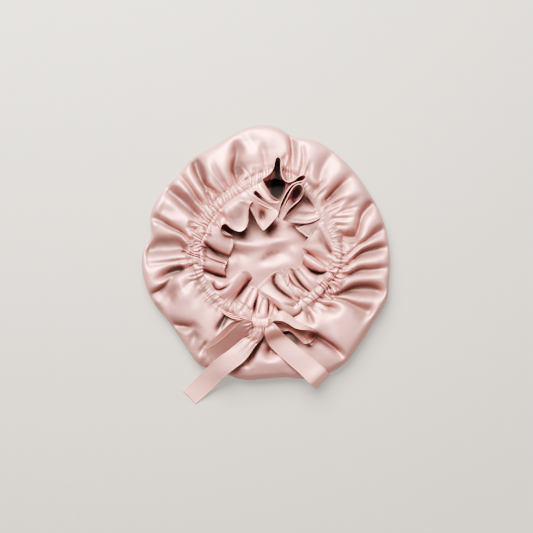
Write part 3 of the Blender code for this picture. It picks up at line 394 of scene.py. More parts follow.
# The valleys pressed into the ruffle, seen from above: the casing angles of the cloth that they run in, and
# the marks along each.
PRESSES = [
    Press(285, 311, [Spot(12.5, -35.2, 3, 2.5), Spot(8.9, -40.7, 8, 3), Spot(8.9, -47.9, 10, 3),
                     Spot(14.3, -55.8, 11, 2.6), Spot(22.8, -62.5, 11, 2.3), Spot(31.3, -68, 9, 2),
                     Spot(36.2, -71.6, 5, 1.8)]),
    Press(300, 325, [Spot(25.8, -30.9, 2, 1.4), Spot(28.9, -39.4, 4.5, 1.5), Spot(33.1, -47.3, 5, 1.6),
                     Spot(38.6, -52.4, 6, 1.7), Spot(44.7, -55.8, 6, 1.7), Spot(50.1, -59.5, 6, 1.6)]),
    Press(305, 330, [Spot(33.1, -29.7, 5, 2.6), Spot(36.2, -37, 8, 2.8), Spot(41, -44.9, 10, 2.6),
                     Spot(47.1, -52.2, 10, 2.3), Spot(54.4, -58.2, 8, 2), Spot(62.9, -63.7, 6, 1.8)]),
    Press(318, 345, [Spot(47.1, -21.8, 5, 2), Spot(53.2, -27.9, 7, 2.2), Spot(59.2, -32.8, 11, 2.6),
                     Spot(66.5, -35.2, 13, 3), Spot(73.8, -34.6, 11, 2.6), Spot(79.9, -33.1, 6, 2)]),
    Press(328, 352, [Spot(47.1, -4.9, 3, 1.2), Spot(54.4, -9.1, 4.5, 1.3), Spot(62.9, -14, 4.5, 1.4),
                     Spot(71.4, -21.2, 4.5, 1.4), Spot(78.6, -27.3, 4, 1.4)]),
    Press(340, 382, [Spot(68.9, 20, 2, 5), Spot(73.7, 10.3, 5, 4.5), Spot(79.9, -0.6, 8, 3.6),
                     Spot(84.7, -7.9, 9, 2.6), Spot(87.1, -12.1, 5, 1.8)]),
    Press(158, 192, [Spot(-81.4, 4, 6, 2), Spot(-73.4, -2.7, 9, 2.4), Spot(-65.4, -9.3, 10, 2.6),
                     Spot(-58.7, -12, 10, 2.4), Spot(-49.4, -14.7, 9, 2.2)]),
    Press(180, 200, [Spot(-80, -13, 5, 1.4), Spot(-76, -16, 5, 1.4), Spot(-65.4, -20, 6, 1.3),
                     Spot(-56, -22.7, 6, 1.2)]),
    Press(190, 216, [Spot(-85.4, -29.4, 4, 1.6), Spot(-76, -34.7, 7, 1.8), Spot(-66.8, -38.7, 9, 2),
                     Spot(-58.7, -40.7, 9, 1.8), Spot(-53.4, -41.4, 7, 1.6)]),
    Press(200, 226, [Spot(-70.8, -49.4, 6, 2), Spot(-68, -56, 9, 2.2), Spot(-62.8, -57, 9, 2.2),
                     Spot(-49.4, -52.4, 7, 2)]),
    Press(222, 250, [Spot(-24, -44, 6, 2.4), Spot(-30.7, -52, 7, 2.2), Spot(-36, -61.4, 6, 1.8),
                     Spot(-41.4, -69.4, 3, 1.6)]),
    Press(232, 257, [Spot(-41.4, -70.8, 3, 1.4), Spot(-30.7, -77.4, 4, 1.4), Spot(-21.4, -84, 4, 1.4)]),
    Press(36, 53, [Spot(69.3, 45.7, 3, 1.6), Spot(60, 43.5, 4, 1.8), Spot(51.5, 42, 4, 2),
                   Spot(40, 43, 2, 2)]),
    Press(38, 56, [Spot(46, 64, 3, 5), Spot(55, 60, 6, 5), Spot(62, 54, 6, 4)]),
    Press(28, 38, [Spot(41, 27, 2, 1.2), Spot(52, 33, 3, 1.3), Spot(62, 36.5, 2, 1.2)]),
    Press(107, 118, [Spot(-7.5, 46, 8, 4), Spot(-5, 38, 8, 4)]),
    Press(284, 306, [Spot(24, -76, 2, 1.5), Spot(34.7, -78, 6, 1.9), Spot(44, -73, 6, 1.9)]),
    Press(296, 312, [Spot(36, -66, 3, 1.4), Spot(46, -70, 6, 1.7), Spot(52, -76, 5, 1.7)]),
    Press(260, 271, [Spot(-4, -69, 1.5, 0.9), Spot(-8.5, -78, 3, 1.1), Spot(-11, -87, 4, 1.2)]),
    Press(271, 282, [Spot(9.5, -79, 2, 0.9), Spot(7, -86, 3.5, 1.1), Spot(6, -92, 4, 1.2)]),
    Press(241, 257, [Spot(-18, -55, 2, 1.2), Spot(-24, -66, 4, 1.4), Spot(-28, -75, 4, 1.4),
                     Spot(-34, -84, 3, 1.2)]),
    Press(206, 224, [Spot(-42, -47, 3, 1.6), Spot(-52, -60, 5, 1.6), Spot(-58, -68, 4, 1.4)]),
]

# Where the cloth is given painted shade: the middle of each place, its reach and turn, the height below which
# it grows dark, and how dark. The first rows are deep hollows, where little light reaches. The rows at
# ANY_HEIGHT are painted shade and painted dark reflections on open cloth, soft dusky places set from the
# photo's shadows and reflections, and they don't follow its shape.
ANY_HEIGHT = 70  # above all of the crown and the ruffle
PAINTED_SHADE_PLACES = [
    ShadedPlace(13.6, 78.3, 17, 9.5, 80, 44, 1.0), ShadedPlace(13.9, 103, 14, 4.2, 90, 50, 1.0),
    ShadedPlace(45.5, 90, 6, 3.4, 20, 52, 0.9), ShadedPlace(39.6, 72.2, 10, 5.4, 57, 54, 1.0),
    ShadedPlace(-6.4, 42, 7, 5, 60, 33, 0.8), ShadedPlace(-20, 21, 37, 14, -6, 16, 0.8),
    ShadedPlace(4, -12.5, 12, 5, 23, 26, 0.6), ShadedPlace(-35, -10, 11, 6, -35, 26, 0.26),
    ShadedPlace(52, -8, 6, 16, 0, 12, 0.3), ShadedPlace(-9, -94, 13, 3, -3, 34, 0.8),
    ShadedPlace(-57, -98, 14, 5, 42, ANY_HEIGHT, 0.8), ShadedPlace(-43, -103, 9, 4, 20, ANY_HEIGHT, 0.8),
    ShadedPlace(31, -121, 13, 7, -35, ANY_HEIGHT, 0.85), ShadedPlace(-3, -121, 7, 5, 60, ANY_HEIGHT, 0.75),
    ShadedPlace(22, -106, 9, 4, -25, ANY_HEIGHT, 0.7), ShadedPlace(-90, 102, 20, 8, -64, ANY_HEIGHT, 0.7),
    ShadedPlace(-38, 101, 9, 7, 0, ANY_HEIGHT, 0.72), ShadedPlace(-38, 128, 9, 8, 0, ANY_HEIGHT, 0.4),
    ShadedPlace(-106, 63, 27, 8, -43, ANY_HEIGHT, 0.52), ShadedPlace(-132, -64, 18, 12, 60, ANY_HEIGHT, 0.44),
    ShadedPlace(-105, -112, 18, 7, -25, ANY_HEIGHT, 0.5), ShadedPlace(126, -84, 15, 10, 60, ANY_HEIGHT, 0.34),
    ShadedPlace(-96, -128, 10, 6, -50, ANY_HEIGHT, 0.45), ShadedPlace(-13, -136, 14, 4, 68, ANY_HEIGHT, 0.6),
    ShadedPlace(13, -136, 6, 5, 0, ANY_HEIGHT, 0.75), ShadedPlace(-66, -120, 13, 3, 42, ANY_HEIGHT, 0.5),
    ShadedPlace(-80, -140, 12, 4, 60, ANY_HEIGHT, 0.4), ShadedPlace(-2, -158, 40, 5, 0, ANY_HEIGHT, 0.22),
    ShadedPlace(-120, 3, 22, 6, 2, ANY_HEIGHT, 0.5), ShadedPlace(-121, -31, 13, 5, 18, ANY_HEIGHT, 0.85),
    ShadedPlace(-99, 31, 6, 4, 0, ANY_HEIGHT, 0.45), ShadedPlace(-137, 37, 12, 5, -25, ANY_HEIGHT, 0.35),
    ShadedPlace(-43, 45, 11, 8, 0, ANY_HEIGHT, 0.4), ShadedPlace(57, -93, 8, 3.5, -60, ANY_HEIGHT, 0.5),
    ShadedPlace(82, -129, 19, 4, -30, ANY_HEIGHT, 0.6), ShadedPlace(67, 16, 13, 7, -60, ANY_HEIGHT, 0.4),
    ShadedPlace(54, 63, 12, 7, -30, ANY_HEIGHT, 0.6), ShadedPlace(111, 17, 8, 7, 0, ANY_HEIGHT, 0.45),
    ShadedPlace(134, 52, 11, 7, 60, ANY_HEIGHT, 0.38), ShadedPlace(146, 23, 9, 5, 45, ANY_HEIGHT, 0.3),
    ShadedPlace(-104, -40, 10, 6, 40, ANY_HEIGHT, 0.25),
]
HOLLOW_FALL = 18.0  # how far below its height a place is as dark as it gets
HOLLOW_EDGE = 1.7  # above 1, a place is evenly dark in its middle
PRESS_SCALE = 1.35
PRESS_SHADE = 1.35
PRESS_FADE = 4.0  # the angle over which a valley runs out into the cloth beside it
PRESS_FROM = 0.12  # they set in at this share of the way down from the casing
LOW_SHADE = 0.55  # the painted shade on the low returns between the ruffle's folds
LOW_FROM, LOW_SPAN = 17.0, 5.0  # the height of the edge below which it returns low
LIT_TO, LIT_FADE = 0.35, 0.2  # down to this share, the cloth that comes over the casing gets no painted shade on its low returns

RUFFLE_DEPTH = 42.0  # from the casing to the free edge, along the cloth
RUFFLE_TURNS = 1800
RUFFLE_ROWS = 26
RUFFLE_FLAT = 0.04  # its depth in the cloth's own coordinate, in metres
HEM_ROWS = 8  # the last rows, close together for the turned hem
HEM_WIDTH = 2.6
HEM_TALL = 0.55
HEM_STEP = 0.6  # the length over which the turned hem steps up
HEM_RIDGES, HEM_RIDGE_FADE = 0.4, 0.25  # how far down the casing's ridges run on, and run out
RUFFLE_WALL = 1.2
RUFFLE_LOWEST = 6.0  # no valley goes below this height
LEAVE_IN = 7.0  # how far the cloth runs inwards as it leaves the casing
LEAVE_UP = 1.0
BILLOW_AT = 0.35
DIP_DOWN = 8.0
DIP_FULL = 10.0  # with this dip the cloth stands wholly
STAND_FROM, STAND_SPAN = 38.0, 7.0  # it stands, too, where its edge is above this height
STAND_STRAIGHT = 16.0
CREST_LOSS = 0.6  # how much of its crest it loses over the casing
OVER_FROM, OVER_TO = 238, 304  # the angles between which it comes from beyond the casing
OVER_FADE = 8
OVER_OUT = 11.0
OVER_UP = 2.0
OVER_RISE = 7.0

# ---------------------------------------------------------------- the bow

RIBBON_WALL = 0.6
RIBBON_WIDTH = 25.0
RIBBON_LANES = 30
LANE_CROWD = 1.5  # above 1, the lanes are closer together towards both edges
PLEATS = 2.6
KNOT_FROM, KNOT_TO = (-21.5, -100.2), (3.5, -101.6)
KNOT_HALF = (7.6, 4.3)  # half its width as seen from above, and half its thickness
KNOT_LIFT = 5.0
KNOT_ROWS, KNOT_TURNS = 60, 96
KNOT_SEED = 3
KNOT_WRINKLES = 4
KNOT_WRINKLE_SIDE = 0.6  # how deep they are on its sides, as a share of their depth on top
KNOT_SHADE = 0.45
KNOT_SQUARE = 2.6  # 2 would make its section an ellipse
KNOT_END = 0.06  # the share of its length that closes at each end

# Each ribbon is laid row by row: where its two edges lie and how far each stands off what it lies on, how
# far its middle arches up, how much of its spare width goes into pleats, and how much painted shade it has.
LEAD_LEFT = [
    Lay(-62, -81.5, -3, -59, -88, -3, 1.5, 1), Lay(-54.5, -85.2, 1.5, -52.5, -91.5, 1.5, 1.5, 1),
    Lay(-43.5, -89.3, 3, -43, -96, 2, 1, 1), Lay(-31, -91.6, 5, -31.5, -97.5, 3, 1, 1),
    Lay(-20, -95, 5, -20, -101, 4, 0, 1),
]
LEAD_RIGHT = [
    Lay(2, -95, 4, 2, -101, 4, 0, 1), Lay(10, -92, 1, 11.5, -98, 1, 1, 1),
    Lay(19, -90, -1, 21, -95.5, -1, 1, 1), Lay(28, -88.5, -6, 30.5, -93.5, -6, 0, 1),
]
LOOP_LEFT = [
    Lay(-19, -98, 6, -18.5, -104, 5, 0, 0.55, 0.5), Lay(-24.8, -97.2, 11, -21.5, -108, 5, 1, 0.45, 0.42),
    Lay(-33.5, -97.6, 17, -27.5, -116, 3.5, 1, 0.2, 0.4),
    Lay(-42.4, -104.3, 19, -36.6, -125, 2, 0.6, 0, 0.42),
    Lay(-55.6, -117, 18.5, -50, -137, 1.5, 0, 0, 0.42),
    Lay(-69.2, -127.9, 14.5, -61.5, -147, 1.4, 0, 0, 0.36),
    Lay(-79.6, -133.2, 8.5, -69.3, -151, 1.4, 0, 0, 0.24),
    Lay(-79.9, -131.4, 5.8, -70, -150.2, 1.0, 0, 0, 0.3),
    Lay(-69.8, -120.8, 7.6, -60, -140, 0.8, 0, 0, 0.5), Lay(-58.6, -109.4, 9, -50, -129, 0.8, 0, 0, 0.56),
    Lay(-46, -98.7, 8.5, -38, -117, 0.8, 0, 0.2, 0.6),
    Lay(-33.5, -95.2, 6.5, -27, -110, 1.2, 0, 0.45, 0.6),
    Lay(-19, -98, 3.5, -18.5, -104, 3, 0, 0.55, 0.6),
]
LOOP_RIGHT = [
    Lay(1, -97, 6, 1, -103.5, 5.5, 0, 0.85, 0.3), Lay(9, -91.6, 9, 8.5, -97.6, 13, 0.5, 0.65, 0.1),
    Lay(20.5, -84.6, 8, 18.5, -96.6, 17, 2, 0.1), Lay(30.5, -90.2, 7, 27.5, -100.5, 19, 2.5, 0),
    Lay(41, -98.2, 6.5, 37, -106.2, 20, 2, 0, 0.1), Lay(51, -102.8, 6.5, 47.5, -108.0, 20, 1.5, 0, 0.3),
    Lay(59.5, -106.6, 6, 57.2, -109.0, 19, 1, 0, 0.7), Lay(65.6, -112.6, 5, 63.6, -113.4, 18, 0, 0, 0.9),
    Lay(64.5, -119.4, 3.5, 61.6, -119.4, 16.5, 0, 0, 0.7),
    Lay(58.0, -127.5, 2.2, 56.2, -124.8, 14, 0, 0, 0.35),
    Lay(49, -117, 1.2, 48.6, -126.8, 11.5, -1, 0, 0.5),
    Lay(38, -108, 1.0, 38.4, -117.4, 11.5, -1.5, 0, 0.6),
    Lay(28, -101.5, 1.2, 29, -110.6, 10.5, -1, 0.1, 0.6), Lay(15, -98.5, 2, 18, -110.6, 7, 0, 0.6, 0.65),
    Lay(1, -98, 3, 1, -104, 2.5, 0, 0.9, 0.7),
]
TAIL_LEFT = [
    Lay(-16, -104.5, 1, -4.5, -105, 1, 0.5, 0.5, 0.75),
    Lay(-19.4, -109.5, 3.5, -3.6, -112.5, 4, 4, 0.35, 0.25),
    Lay(-22.6, -114.8, 3.5, -6, -119.6, 3, 5.5, 0.2),
    Lay(-25.6, -118, 2.5, -11.8, -126.4, 2.5, 1.2, 0.8, 0.45),
    Lay(-32.5, -121.6, 1.8, -15.8, -131, 1.5, 2.5, 0.5),
    Lay(-48.3, -134.4, 1.2, -28.8, -148.8, 1.2, 0.8, 0), Lay(-68.9, -149.8, 1, -49.8, -166, 1, 0.4, 0),
    Lay(-84.5, -165.2, 1, -67.2, -183.2, 1, 0.3, 0), Lay(-99.5, -179.8, 1, -82.5, -198, 1, 0.2, 0),
    Lay(-112.4, -192.4, 1, -95.6, -209.2, 1, 0, 0),
]
TAIL_RIGHT = [
    Lay(0.4, -103, -1, 6.2, -97.4, -1, 1, 0.4, 0.5), Lay(-2.2, -106.2, 1, 10.2, -101.0, 1.5, 3, 0.3, 0.1),
    Lay(-2.6, -113, 2, 14.8, -106.2, 3, 4, 0.1), Lay(-0.8, -122.5, 1.5, 21.5, -114, 4.5, -2.0, 0, 0.2),
    Lay(6, -133, 1.2, 30.6, -122.5, 4.5, 0.8, 0, 0.05), Lay(23.6, -149.8, 1, 46.6, -136.2, 2.5, 2, 0),
    Lay(43.1, -166.9, 1.2, 64.5, -150.8, 1.5, 1, 0), Lay(54.6, -178.4, 2.6, 75.4, -160, 2.2, 1.8, 0),
    Lay(65.3, -188.6, 3.4, 84.6, -169.8, 3.2, 1.0, 0),
]
BED_WIDER = 1.04  # a ribbon feels what it lies on a little past its edges
BED_BEFORE = 0.02
BED_SPOTS = 9
BEND_PASSES = 60  # how often a ribbon's sharp bends are evened
BEND_REACH = 8  # how many rows to both sides are lifted where it would sink in
RIBBON_WAVE = 0.5  # how far the laid ribbons ripple
SELVEDGE_AT = 0.7  # the thicker edge of the ribbons
SELVEDGE_HALF = 0.45
SELVEDGE_TALL = 0.35

# ---------------------------------------------------------------- finishes and room

SATIN = Finish("rose_satin_cloth", (0.61, 0.345, 0.322), 0.5, 0.53, 0.35, 0.3)
RIBBON = Finish("rose_ribbon_cloth", (0.81, 0.445, 0.405), 0.3, 0.5, 0.6, 0.25)
# The colour that painted shade darkens the cloth towards.
PAINTED_SHADE_TONE = (0.046, 0.041, 0.037)
FLOOR_TONE = (0.295, 0.284, 0.257)
FLOOR_GLOW = 0.18  # lightens the shadow that the bonnet throws
GLOW_TONE = (1.0, 0.962, 0.875)
FLOOR_ROUGH = 0.9
FLOOR_HALF = 4.0
EXPOSURE = 0.82
STUDIO_TONE = (1.0, 0.985, 0.96)
STUDIO_STRENGTH = 0.08
LAMP_TONE = (1.0, 0.945, 0.905)
LAMPS = [Lamp("overhead", (-0.34, 0.92, 1.22), 1.15, 53), Lamp("fill", (0.9, -0.9, 1.3), 1.6, 3)]
FRAME_WIDTH = 0.712  # how much of the table the photo spans, in metres
VIEW_CENTRE = (-0.0007, -0.026)
CAMERA_HEIGHT = 2.0

# ---------------------------------------------------------------- curves and fields


def smooth(value):
    """0 to 1 with level ends."""
    value = np.clip(value, 0.0, 1.0)
    return value * value * (3 - 2 * value)


def through(at, value, where):
    """A smooth curve through (at, value), with the slope at each point from its two neighbours."""
    slope = np.gradient(value, at)
    k = np.clip(np.searchsorted(at, where, side="right") - 1, 0, len(at) - 2)
    span = at[k + 1] - at[k]
    t = (where - at[k]) / span
    return (
        value[k] * (1 + 2 * t) * (1 - t) ** 2
        + slope[k] * span * t * (1 - t) ** 2
        + value[k + 1] * t * t * (3 - 2 * t)
        - slope[k + 1] * span * t * t * (1 - t)
    )


def around(rows, angle):
    """What a table gives beside its angles, at any angle, as a closed curve through its rows."""
    at, value = np.array(rows, float).T
    at = np.concatenate([at[-CLOSED_LAP:] - 360, at, at[:CLOSED_LAP] + 360])
    value = np.concatenate([value[-CLOSED_LAP:], value, value[:CLOSED_LAP]])
    return through(at, value, np.mod(angle, 360))


def turn_between(start, end):
    """The shorter turn from one angle to another, in degrees."""
    return (end - start + 180) % 360 - 180


def polar(angle, radius, height):
    turn = np.radians(angle)
    return np.stack([radius * np.cos(turn), radius * np.sin(turn), height + 0 * radius], axis=-1) * MM


def valley(aside, width):
    """A soft valley across its line, with long slopes, so that the cloth between two valleys is round."""
    return 1 / (1 + (np.abs(aside) / width) ** VALLEY_POWER)


def crease_field(angle, radius):
    """How deep the valleys are at each point of the crown."""
    depth = np.zeros_like(radius)
    for rows in CREASES:
        marks = Mark(*np.array(rows, float).T)
        at, start, end = marks.radius, marks.radius[0], marks.radius[-1]
        near = (radius > start - CREASE_FADE) & (radius < end + CREASE_FADE)
        line = np.degrees(np.unwrap(np.radians(marks.angle)))
        r = radius[near]
        middle = through(at, line, np.clip(r, start, end))
        aside = np.radians(turn_between(middle, angle[near])) * r
        width = np.where(aside < 0, np.interp(r, at, marks.low), np.interp(r, at, marks.high))
        deep = np.interp(r, at, marks.depth)
        deep = deep * smooth((r - start + CREASE_FADE) / CREASE_FADE)
        deep = deep * smooth((end + CREASE_FADE - r) / CREASE_FADE)
        depth[near] += (CREASE_SCALE * deep * valley(aside, width)) ** VALLEY_JOIN
    depth = depth ** (1 / VALLEY_JOIN)
    return CREASE_LIMIT * np.tanh(depth / CREASE_LIMIT)


def crease_map():
    """The valleys' depths on a fine grid of angles and radii, softened a little."""
    angle, radius = np.meshgrid(np.arange(MAP_ANGLES) * 360 / MAP_ANGLES, MAP_RADII, indexing="ij")
    depth = crease_field(angle, radius)
    for _ in range(MAP_SOFTEN):
        depth = (np.roll(depth, 1, 0) + 2 * depth + np.roll(depth, -1, 0)) / 4
    for _ in range(MAP_SOFTEN // 3):
        depth[:, 1:-1] = (depth[:, :-2] + 2 * depth[:, 1:-1] + depth[:, 2:]) / 4
    return depth


CREASE_MAP = crease_map()


def crease_depth(angle, radius):
    """Reads the map of the valleys between its grid points."""
    a = np.mod(angle, 360) / 360 * MAP_ANGLES
    r = np.clip(radius - MAP_RADII[0], 0, len(MAP_RADII) - 1.001)
    k, m = np.floor(a).astype(int), np.floor(r).astype(int)
    a, r = a - k, r - m
    k, after = k % MAP_ANGLES, (k + 1) % MAP_ANGLES
    return (
        (CREASE_MAP[k, m] * (1 - a) + CREASE_MAP[after, m] * a) * (1 - r)
        + (CREASE_MAP[k, m + 1] * (1 - a) + CREASE_MAP[after, m + 1] * a) * r
    )


def ridge_table():
    """The small ridges side by side round the casing: their edges, heights and how far they reach."""
    dice = np.random.default_rng(RIDGE_SEED)
    # Where the elastic draws less, the ridges are finer.
    drawn = np.clip(around(DRAWS, np.arange(RIDGES) * 360 / RIDGES), *RIDGE_DRAWN)
    step = dice.uniform(*RIDGE_WIDTHS, RIDGES) * (RIDGE_FINE + drawn**1.5)
    edges = np.concatenate([[0], np.cumsum(step) / step.sum() * 360])
    strength = around(DRAWS, (edges[:-1] + edges[1:]) / 2)
    tall = RIDGE_TALL * np.clip(strength, 0.2, 2) ** 1.4 * dice.uniform(*RIDGE_UNEVEN, RIDGES)
    # Some of the weak ones only start, or only end, on the casing.
    least = np.where(strength < RIDGE_WEAK, RIDGE_SHORT, RIDGE_LONG)
    spread_here = RIDGE_SPREAD * (0.6 + 0.5 * strength)
    outer = spread_here * (least + (RIDGE_OUTWARD - least) * dice.uniform(0, 1, RIDGES))
    inner = spread_here * (least + (RIDGE_INWARD - least) * dice.uniform(0, 1, RIDGES))
    return edges, tall, outer, inner


RIDGE_EDGES, RIDGE_HEIGHTS, RIDGE_OUTER, RIDGE_INNER = ridge_table()


def wander(turn, out):
    """How far, in millimetres, the ridges bend sideways on their way across the casing."""
    piled = np.clip(around(DRAWS, turn) - RIDGE_WEAK, 0, 1)
    t = np.radians(turn)
    return piled * (
        3.2 * np.sin(out / 4.6 + 2.2 * np.sin(23 * t)) + 2.6 * np.sin(out / 7.5 + 31 * t)
    ) + 0.5 * np.sin(out / 5 + 17 * t) + RIDGE_SLANT * out * np.sin(5 * t + 2.5 * np.sin(3 * t + 1))


def ridge_field(turn, out):
    """How high the small gathered ridges stand, out millimetres outwards from the casing's middle."""
    turn = np.mod(turn, 360)
    bent = np.mod(turn + np.degrees(wander(turn, out) / (around(CASING_LINE, turn) + out)), 360)
    k = np.clip(np.searchsorted(RIDGE_EDGES, bent, side="right") - 1, 0, RIDGES - 1)
    across = 2 * (bent - RIDGE_EDGES[k]) / (RIDGE_EDGES[k + 1] - RIDGE_EDGES[k]) - 1
    ends = smooth((RIDGE_OUTER[k] - out) / RIDGE_TIP) * smooth((RIDGE_INNER[k] + out) / RIDGE_TIP)
    high = RIDGE_HEIGHTS[k] * ends * np.clip(1 - np.abs(across) ** RIDGE_ROUND, 0, 1) ** 0.8
    pinch = np.exp(-(((np.abs(out) - STITCH_AT) / STITCH_HALF) ** 2))
    return high * (1 - PINCH * np.clip(around(DRAWS, turn), 0, 1) ** 2 * pinch)


def gap_shade(turn, out, high):
    """The painted shade in the gaps between the small ridges at each point, 0 to 1."""
    reach = smooth((RIDGE_SPREAD + 2 - np.abs(out)) / GAP_FADE)
    strength = around(DRAWS, turn)
    full = GAP_FULL * RIDGE_TALL * strength
    drawn = np.clip(strength, 0, 1.5)
    return GAP_SHADE * drawn * reach * np.clip(1 - high / full, 0, 1) ** 2


def press_field(root, x, y):
    """How deep the ruffle's valleys are at each point, root being the casing angle that it hangs from."""
    depth = np.zeros_like(x)
    for press in PRESSES:
        past_start = turn_between(press.start, root) + PRESS_FADE / 2
        before_end = turn_between(root, press.end) + PRESS_FADE / 2
        inside = smooth(past_start / PRESS_FADE) * smooth(before_end / PRESS_FADE)
        near, deep_here, wide_here = np.full_like(x, 1e9), np.zeros_like(x), np.ones_like(x)
        for first, second in zip(press.marks[:-1], press.marks[1:]):
            run_x, run_y = second.x - first.x, second.y - first.y
            t = np.clip(((x - first.x) * run_x + (y - first.y) * run_y) / (run_x**2 + run_y**2), 0, 1)
            away = np.hypot(x - first.x - run_x * t, y - first.y - run_y * t)
            closer = away < near
            near = np.where(closer, away, near)
            deep_here = np.where(closer, first.depth + (second.depth - first.depth) * t, deep_here)
            wide_here = np.where(closer, first.width + (second.width - first.width) * t, wide_here)
        depth = np.maximum(depth, inside * deep_here * valley(near, wide_here))
    return PRESS_SCALE * depth


def painted_place_shade(points):
    """The painted shade that each point gets from lying in one of the listed places."""
    x, y, z = (points / MM).T
    shade = np.zeros_like(x)
    for shaded_place in PAINTED_SHADE_PLACES:
        reach = swell_shape(x - shaded_place.x, y - shaded_place.y, shaded_place.along, shaded_place.across, shaded_place.turn)
        below = smooth((shaded_place.top - z) / HOLLOW_FALL)
        shade = np.maximum(shade, shaded_place.shade * smooth(reach * HOLLOW_EDGE) * below)
    return shade


def dimple_table():
    """The soft random swells and dents of the crown: place, length, width, turn and height."""
    dice = np.random.default_rng(DIMPLE_SEED)
    rows = []
    for _ in range(DIMPLES):
        angle, radius = dice.uniform(0, 360), dice.uniform(*DIMPLE_RING)
        along = dice.uniform(*DIMPLE_LENGTH)
        rows.append((
            radius * math.cos(math.radians(angle)), radius * math.sin(math.radians(angle)), along,
            along * dice.uniform(*DIMPLE_NARROW), angle + dice.normal(0, DIMPLE_TURN),
            dice.normal(0, DIMPLE_HEIGHT),
        ))
    return rows


def dimple_field(x, y):
    high = np.zeros_like(x)
    for at_x, at_y, along, across, turn, height in dimple_table():
        near = np.hypot(x - at_x, y - at_y) < 2.2 * along
        high[near] += height * swell_shape(x[near] - at_x, y[near] - at_y, along, across, turn)
    return high


def swell_shape(x, y, along, across, turn):
    turn = math.radians(turn)
    u = x * math.cos(turn) + y * math.sin(turn)
    v = y * math.cos(turn) - x * math.sin(turn)
    return np.exp(-((u / along) ** 2) - (v / across) ** 2)


# ---------------------------------------------------------------- meshes


def wrapped_rows(count, turns):
    """A flat grid to be laid round a ring: count rows by turns columns, the last column on the first."""
    sheet = bmesh.new()
    bmesh.ops.create_grid(sheet, x_segments=turns, y_segments=count - 1, size=0.5)
    place = np.array([vert.co[:2] for vert in sheet.verts]) + 0.5
    return sheet, np.rint(place[:, 1] * (count - 1)).astype(int), np.rint(place[:, 0] * turns) / turns * 360


def close_seam(sheet):
    """Joins the first and last columns of a wrapped grid."""
    bmesh.ops.remove_doubles(sheet, verts=[vert for vert in sheet.verts if vert.is_boundary], dist=1e-6)


def lay(disc, points):
    """Moves the points of a bmesh to their places."""
    for vert, point in zip(disc.verts, points):
        vert.co = point


def paint_flat(disc, flat):
    """Lays the cloth's own flat coordinates on it as a UV map, so that the weave follows the cloth."""
    layer = disc.loops.layers.uv.new("cloth")
    disc.verts.index_update()
    for face in disc.faces:
        for loop in face.loops:
            loop[layer].uv = flat[loop.vert.index]


def paint_shade(disc, shade):
    """Keeps each point's painted shade, 0 to 1, for the finish to read: it darkens the cloth's colour."""
    layer = disc.verts.layers.float.new("shade")
    for vert, value in zip(disc.verts, shade):
        vert[layer] = float(value)


def finish_piece(name, shell, material, node):
    """Puts a bmesh into the scene as a piece that stands for a node of the frame."""
    mesh = bpy.data.meshes.new(name)
    shell.to_mesh(mesh)
    shell.free()
    mesh.shade_smooth()
    mesh.materials.append(material)
    piece = bpy.data.objects.new(name, mesh)
    bpy.context.scene.collection.objects.link(piece)
    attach(piece, "root")
    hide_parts(node)
    return piece


def thicken(piece, wall, offset):
    solidify = piece.modifiers.new("wall", "SOLIDIFY")
    solidify.thickness = wall * MM
    solidify.offset = offset
    solidify.use_even_offset = False


def crown_rings():
    """Where each ring lies on the table of levels, by row number."""
    top = np.linspace(0, SIDE_ROW, TOP_RINGS)
    under = np.linspace(SIDE_ROW, FLOOR_ROW, UNDER_RINGS + 1)[1:]
    floor = np.linspace(FLOOR_ROW, MIDDLE_ROW, FLOOR_RINGS + 1)[1:]
    return np.concatenate([top, under, floor])


def section(row):
    """How far out, how high and how folded the crown is at a row of LEVELS, or between two of them."""
    levels = Level(*np.array(LEVELS, float).T)
    at = np.arange(len(LEVELS), dtype=float)
    return through(at, levels.way, row), through(at, levels.height, row), np.interp(row, at, levels.fold)


def crown_top(angle, radius, height, share):
    """The crown's height once it is folded, gathered and dimpled, how deep it lies, its ridges, and how far
    outside the casing's middle it is."""
    out = radius - around(CASING_LINE, angle)
    depth = crease_depth(angle, radius)
    ridges = ridge_field(angle, out)
    turn = np.radians(angle)
    dimples = dimple_field(radius * np.cos(turn), radius * np.sin(turn))
    dimples = dimples * smooth((out - DIMPLE_FROM) / DIMPLE_SPAN)
    return height - (depth - dimples) * share + ridges, np.maximum(depth, 0) * share, ridges, out


def crown_points(row, turn):
    """Points of the crown's outer face. row counts down the table of levels."""
    way, height, share = section(row)
    angle = turn + around(LEANS, turn) * np.clip(way, 0, 1)
    inner = around(CASING_LINE, angle) + CASING_WIDTH / 2 + CROWN_GAP
    rim = around(RIM, angle)
    radius = inner + (rim - inner) * way
    # The rings under the opening shrink evenly to the middle.
    inward = (row - FLOOR_ROW) / (MIDDLE_ROW - FLOOR_ROW)
    radius = np.where(row > FLOOR_ROW, rim * FLOOR_SHARE * (1 - inward * FLOOR_CLOSE), radius)
    folded, depth, ridges, out = crown_top(angle, radius, height, share)
    # Painted shade in the valleys and in the gaps between the small ridges.
    shade = np.maximum(fold_shade(depth), gap_shade(angle, out, ridges))
    on_top = row < TOP_TO
    # Under the gathered band the crown keeps out of its way.
    clear = GATHER_CLEAR * smooth((GATHER_OUT - CLEAR_TO - out) / CLEAR_FADE)
    points = polar(angle, radius, np.where(on_top, folded - clear, height))
    lift = underside_lift(points[:, 0] / MM, points[:, 1] / MM)
    points[:, 2] += np.where(row >= LIFT_FROM, lift, 0) * MM
    return points, np.maximum(np.where(on_top, shade, 0), painted_place_shade(points))


# Painted shade: the deeper the cloth lies in a valley, the darker it is coloured.
def fold_shade(depth):
    return SHADE_MOST * smooth((depth - SHADE_FROM) / SHADE_SPAN)


def underside_lift(x, y):
    lift = np.zeros_like(x)
    for swell in SWELLS:
        lift += swell.height * swell_shape(x - swell.x, y - swell.y, swell.along, swell.across, swell.turn)
    return np.maximum(lift, 0) * smooth((LIFT_RIM - np.hypot(x, y)) / LIFT_FADE)


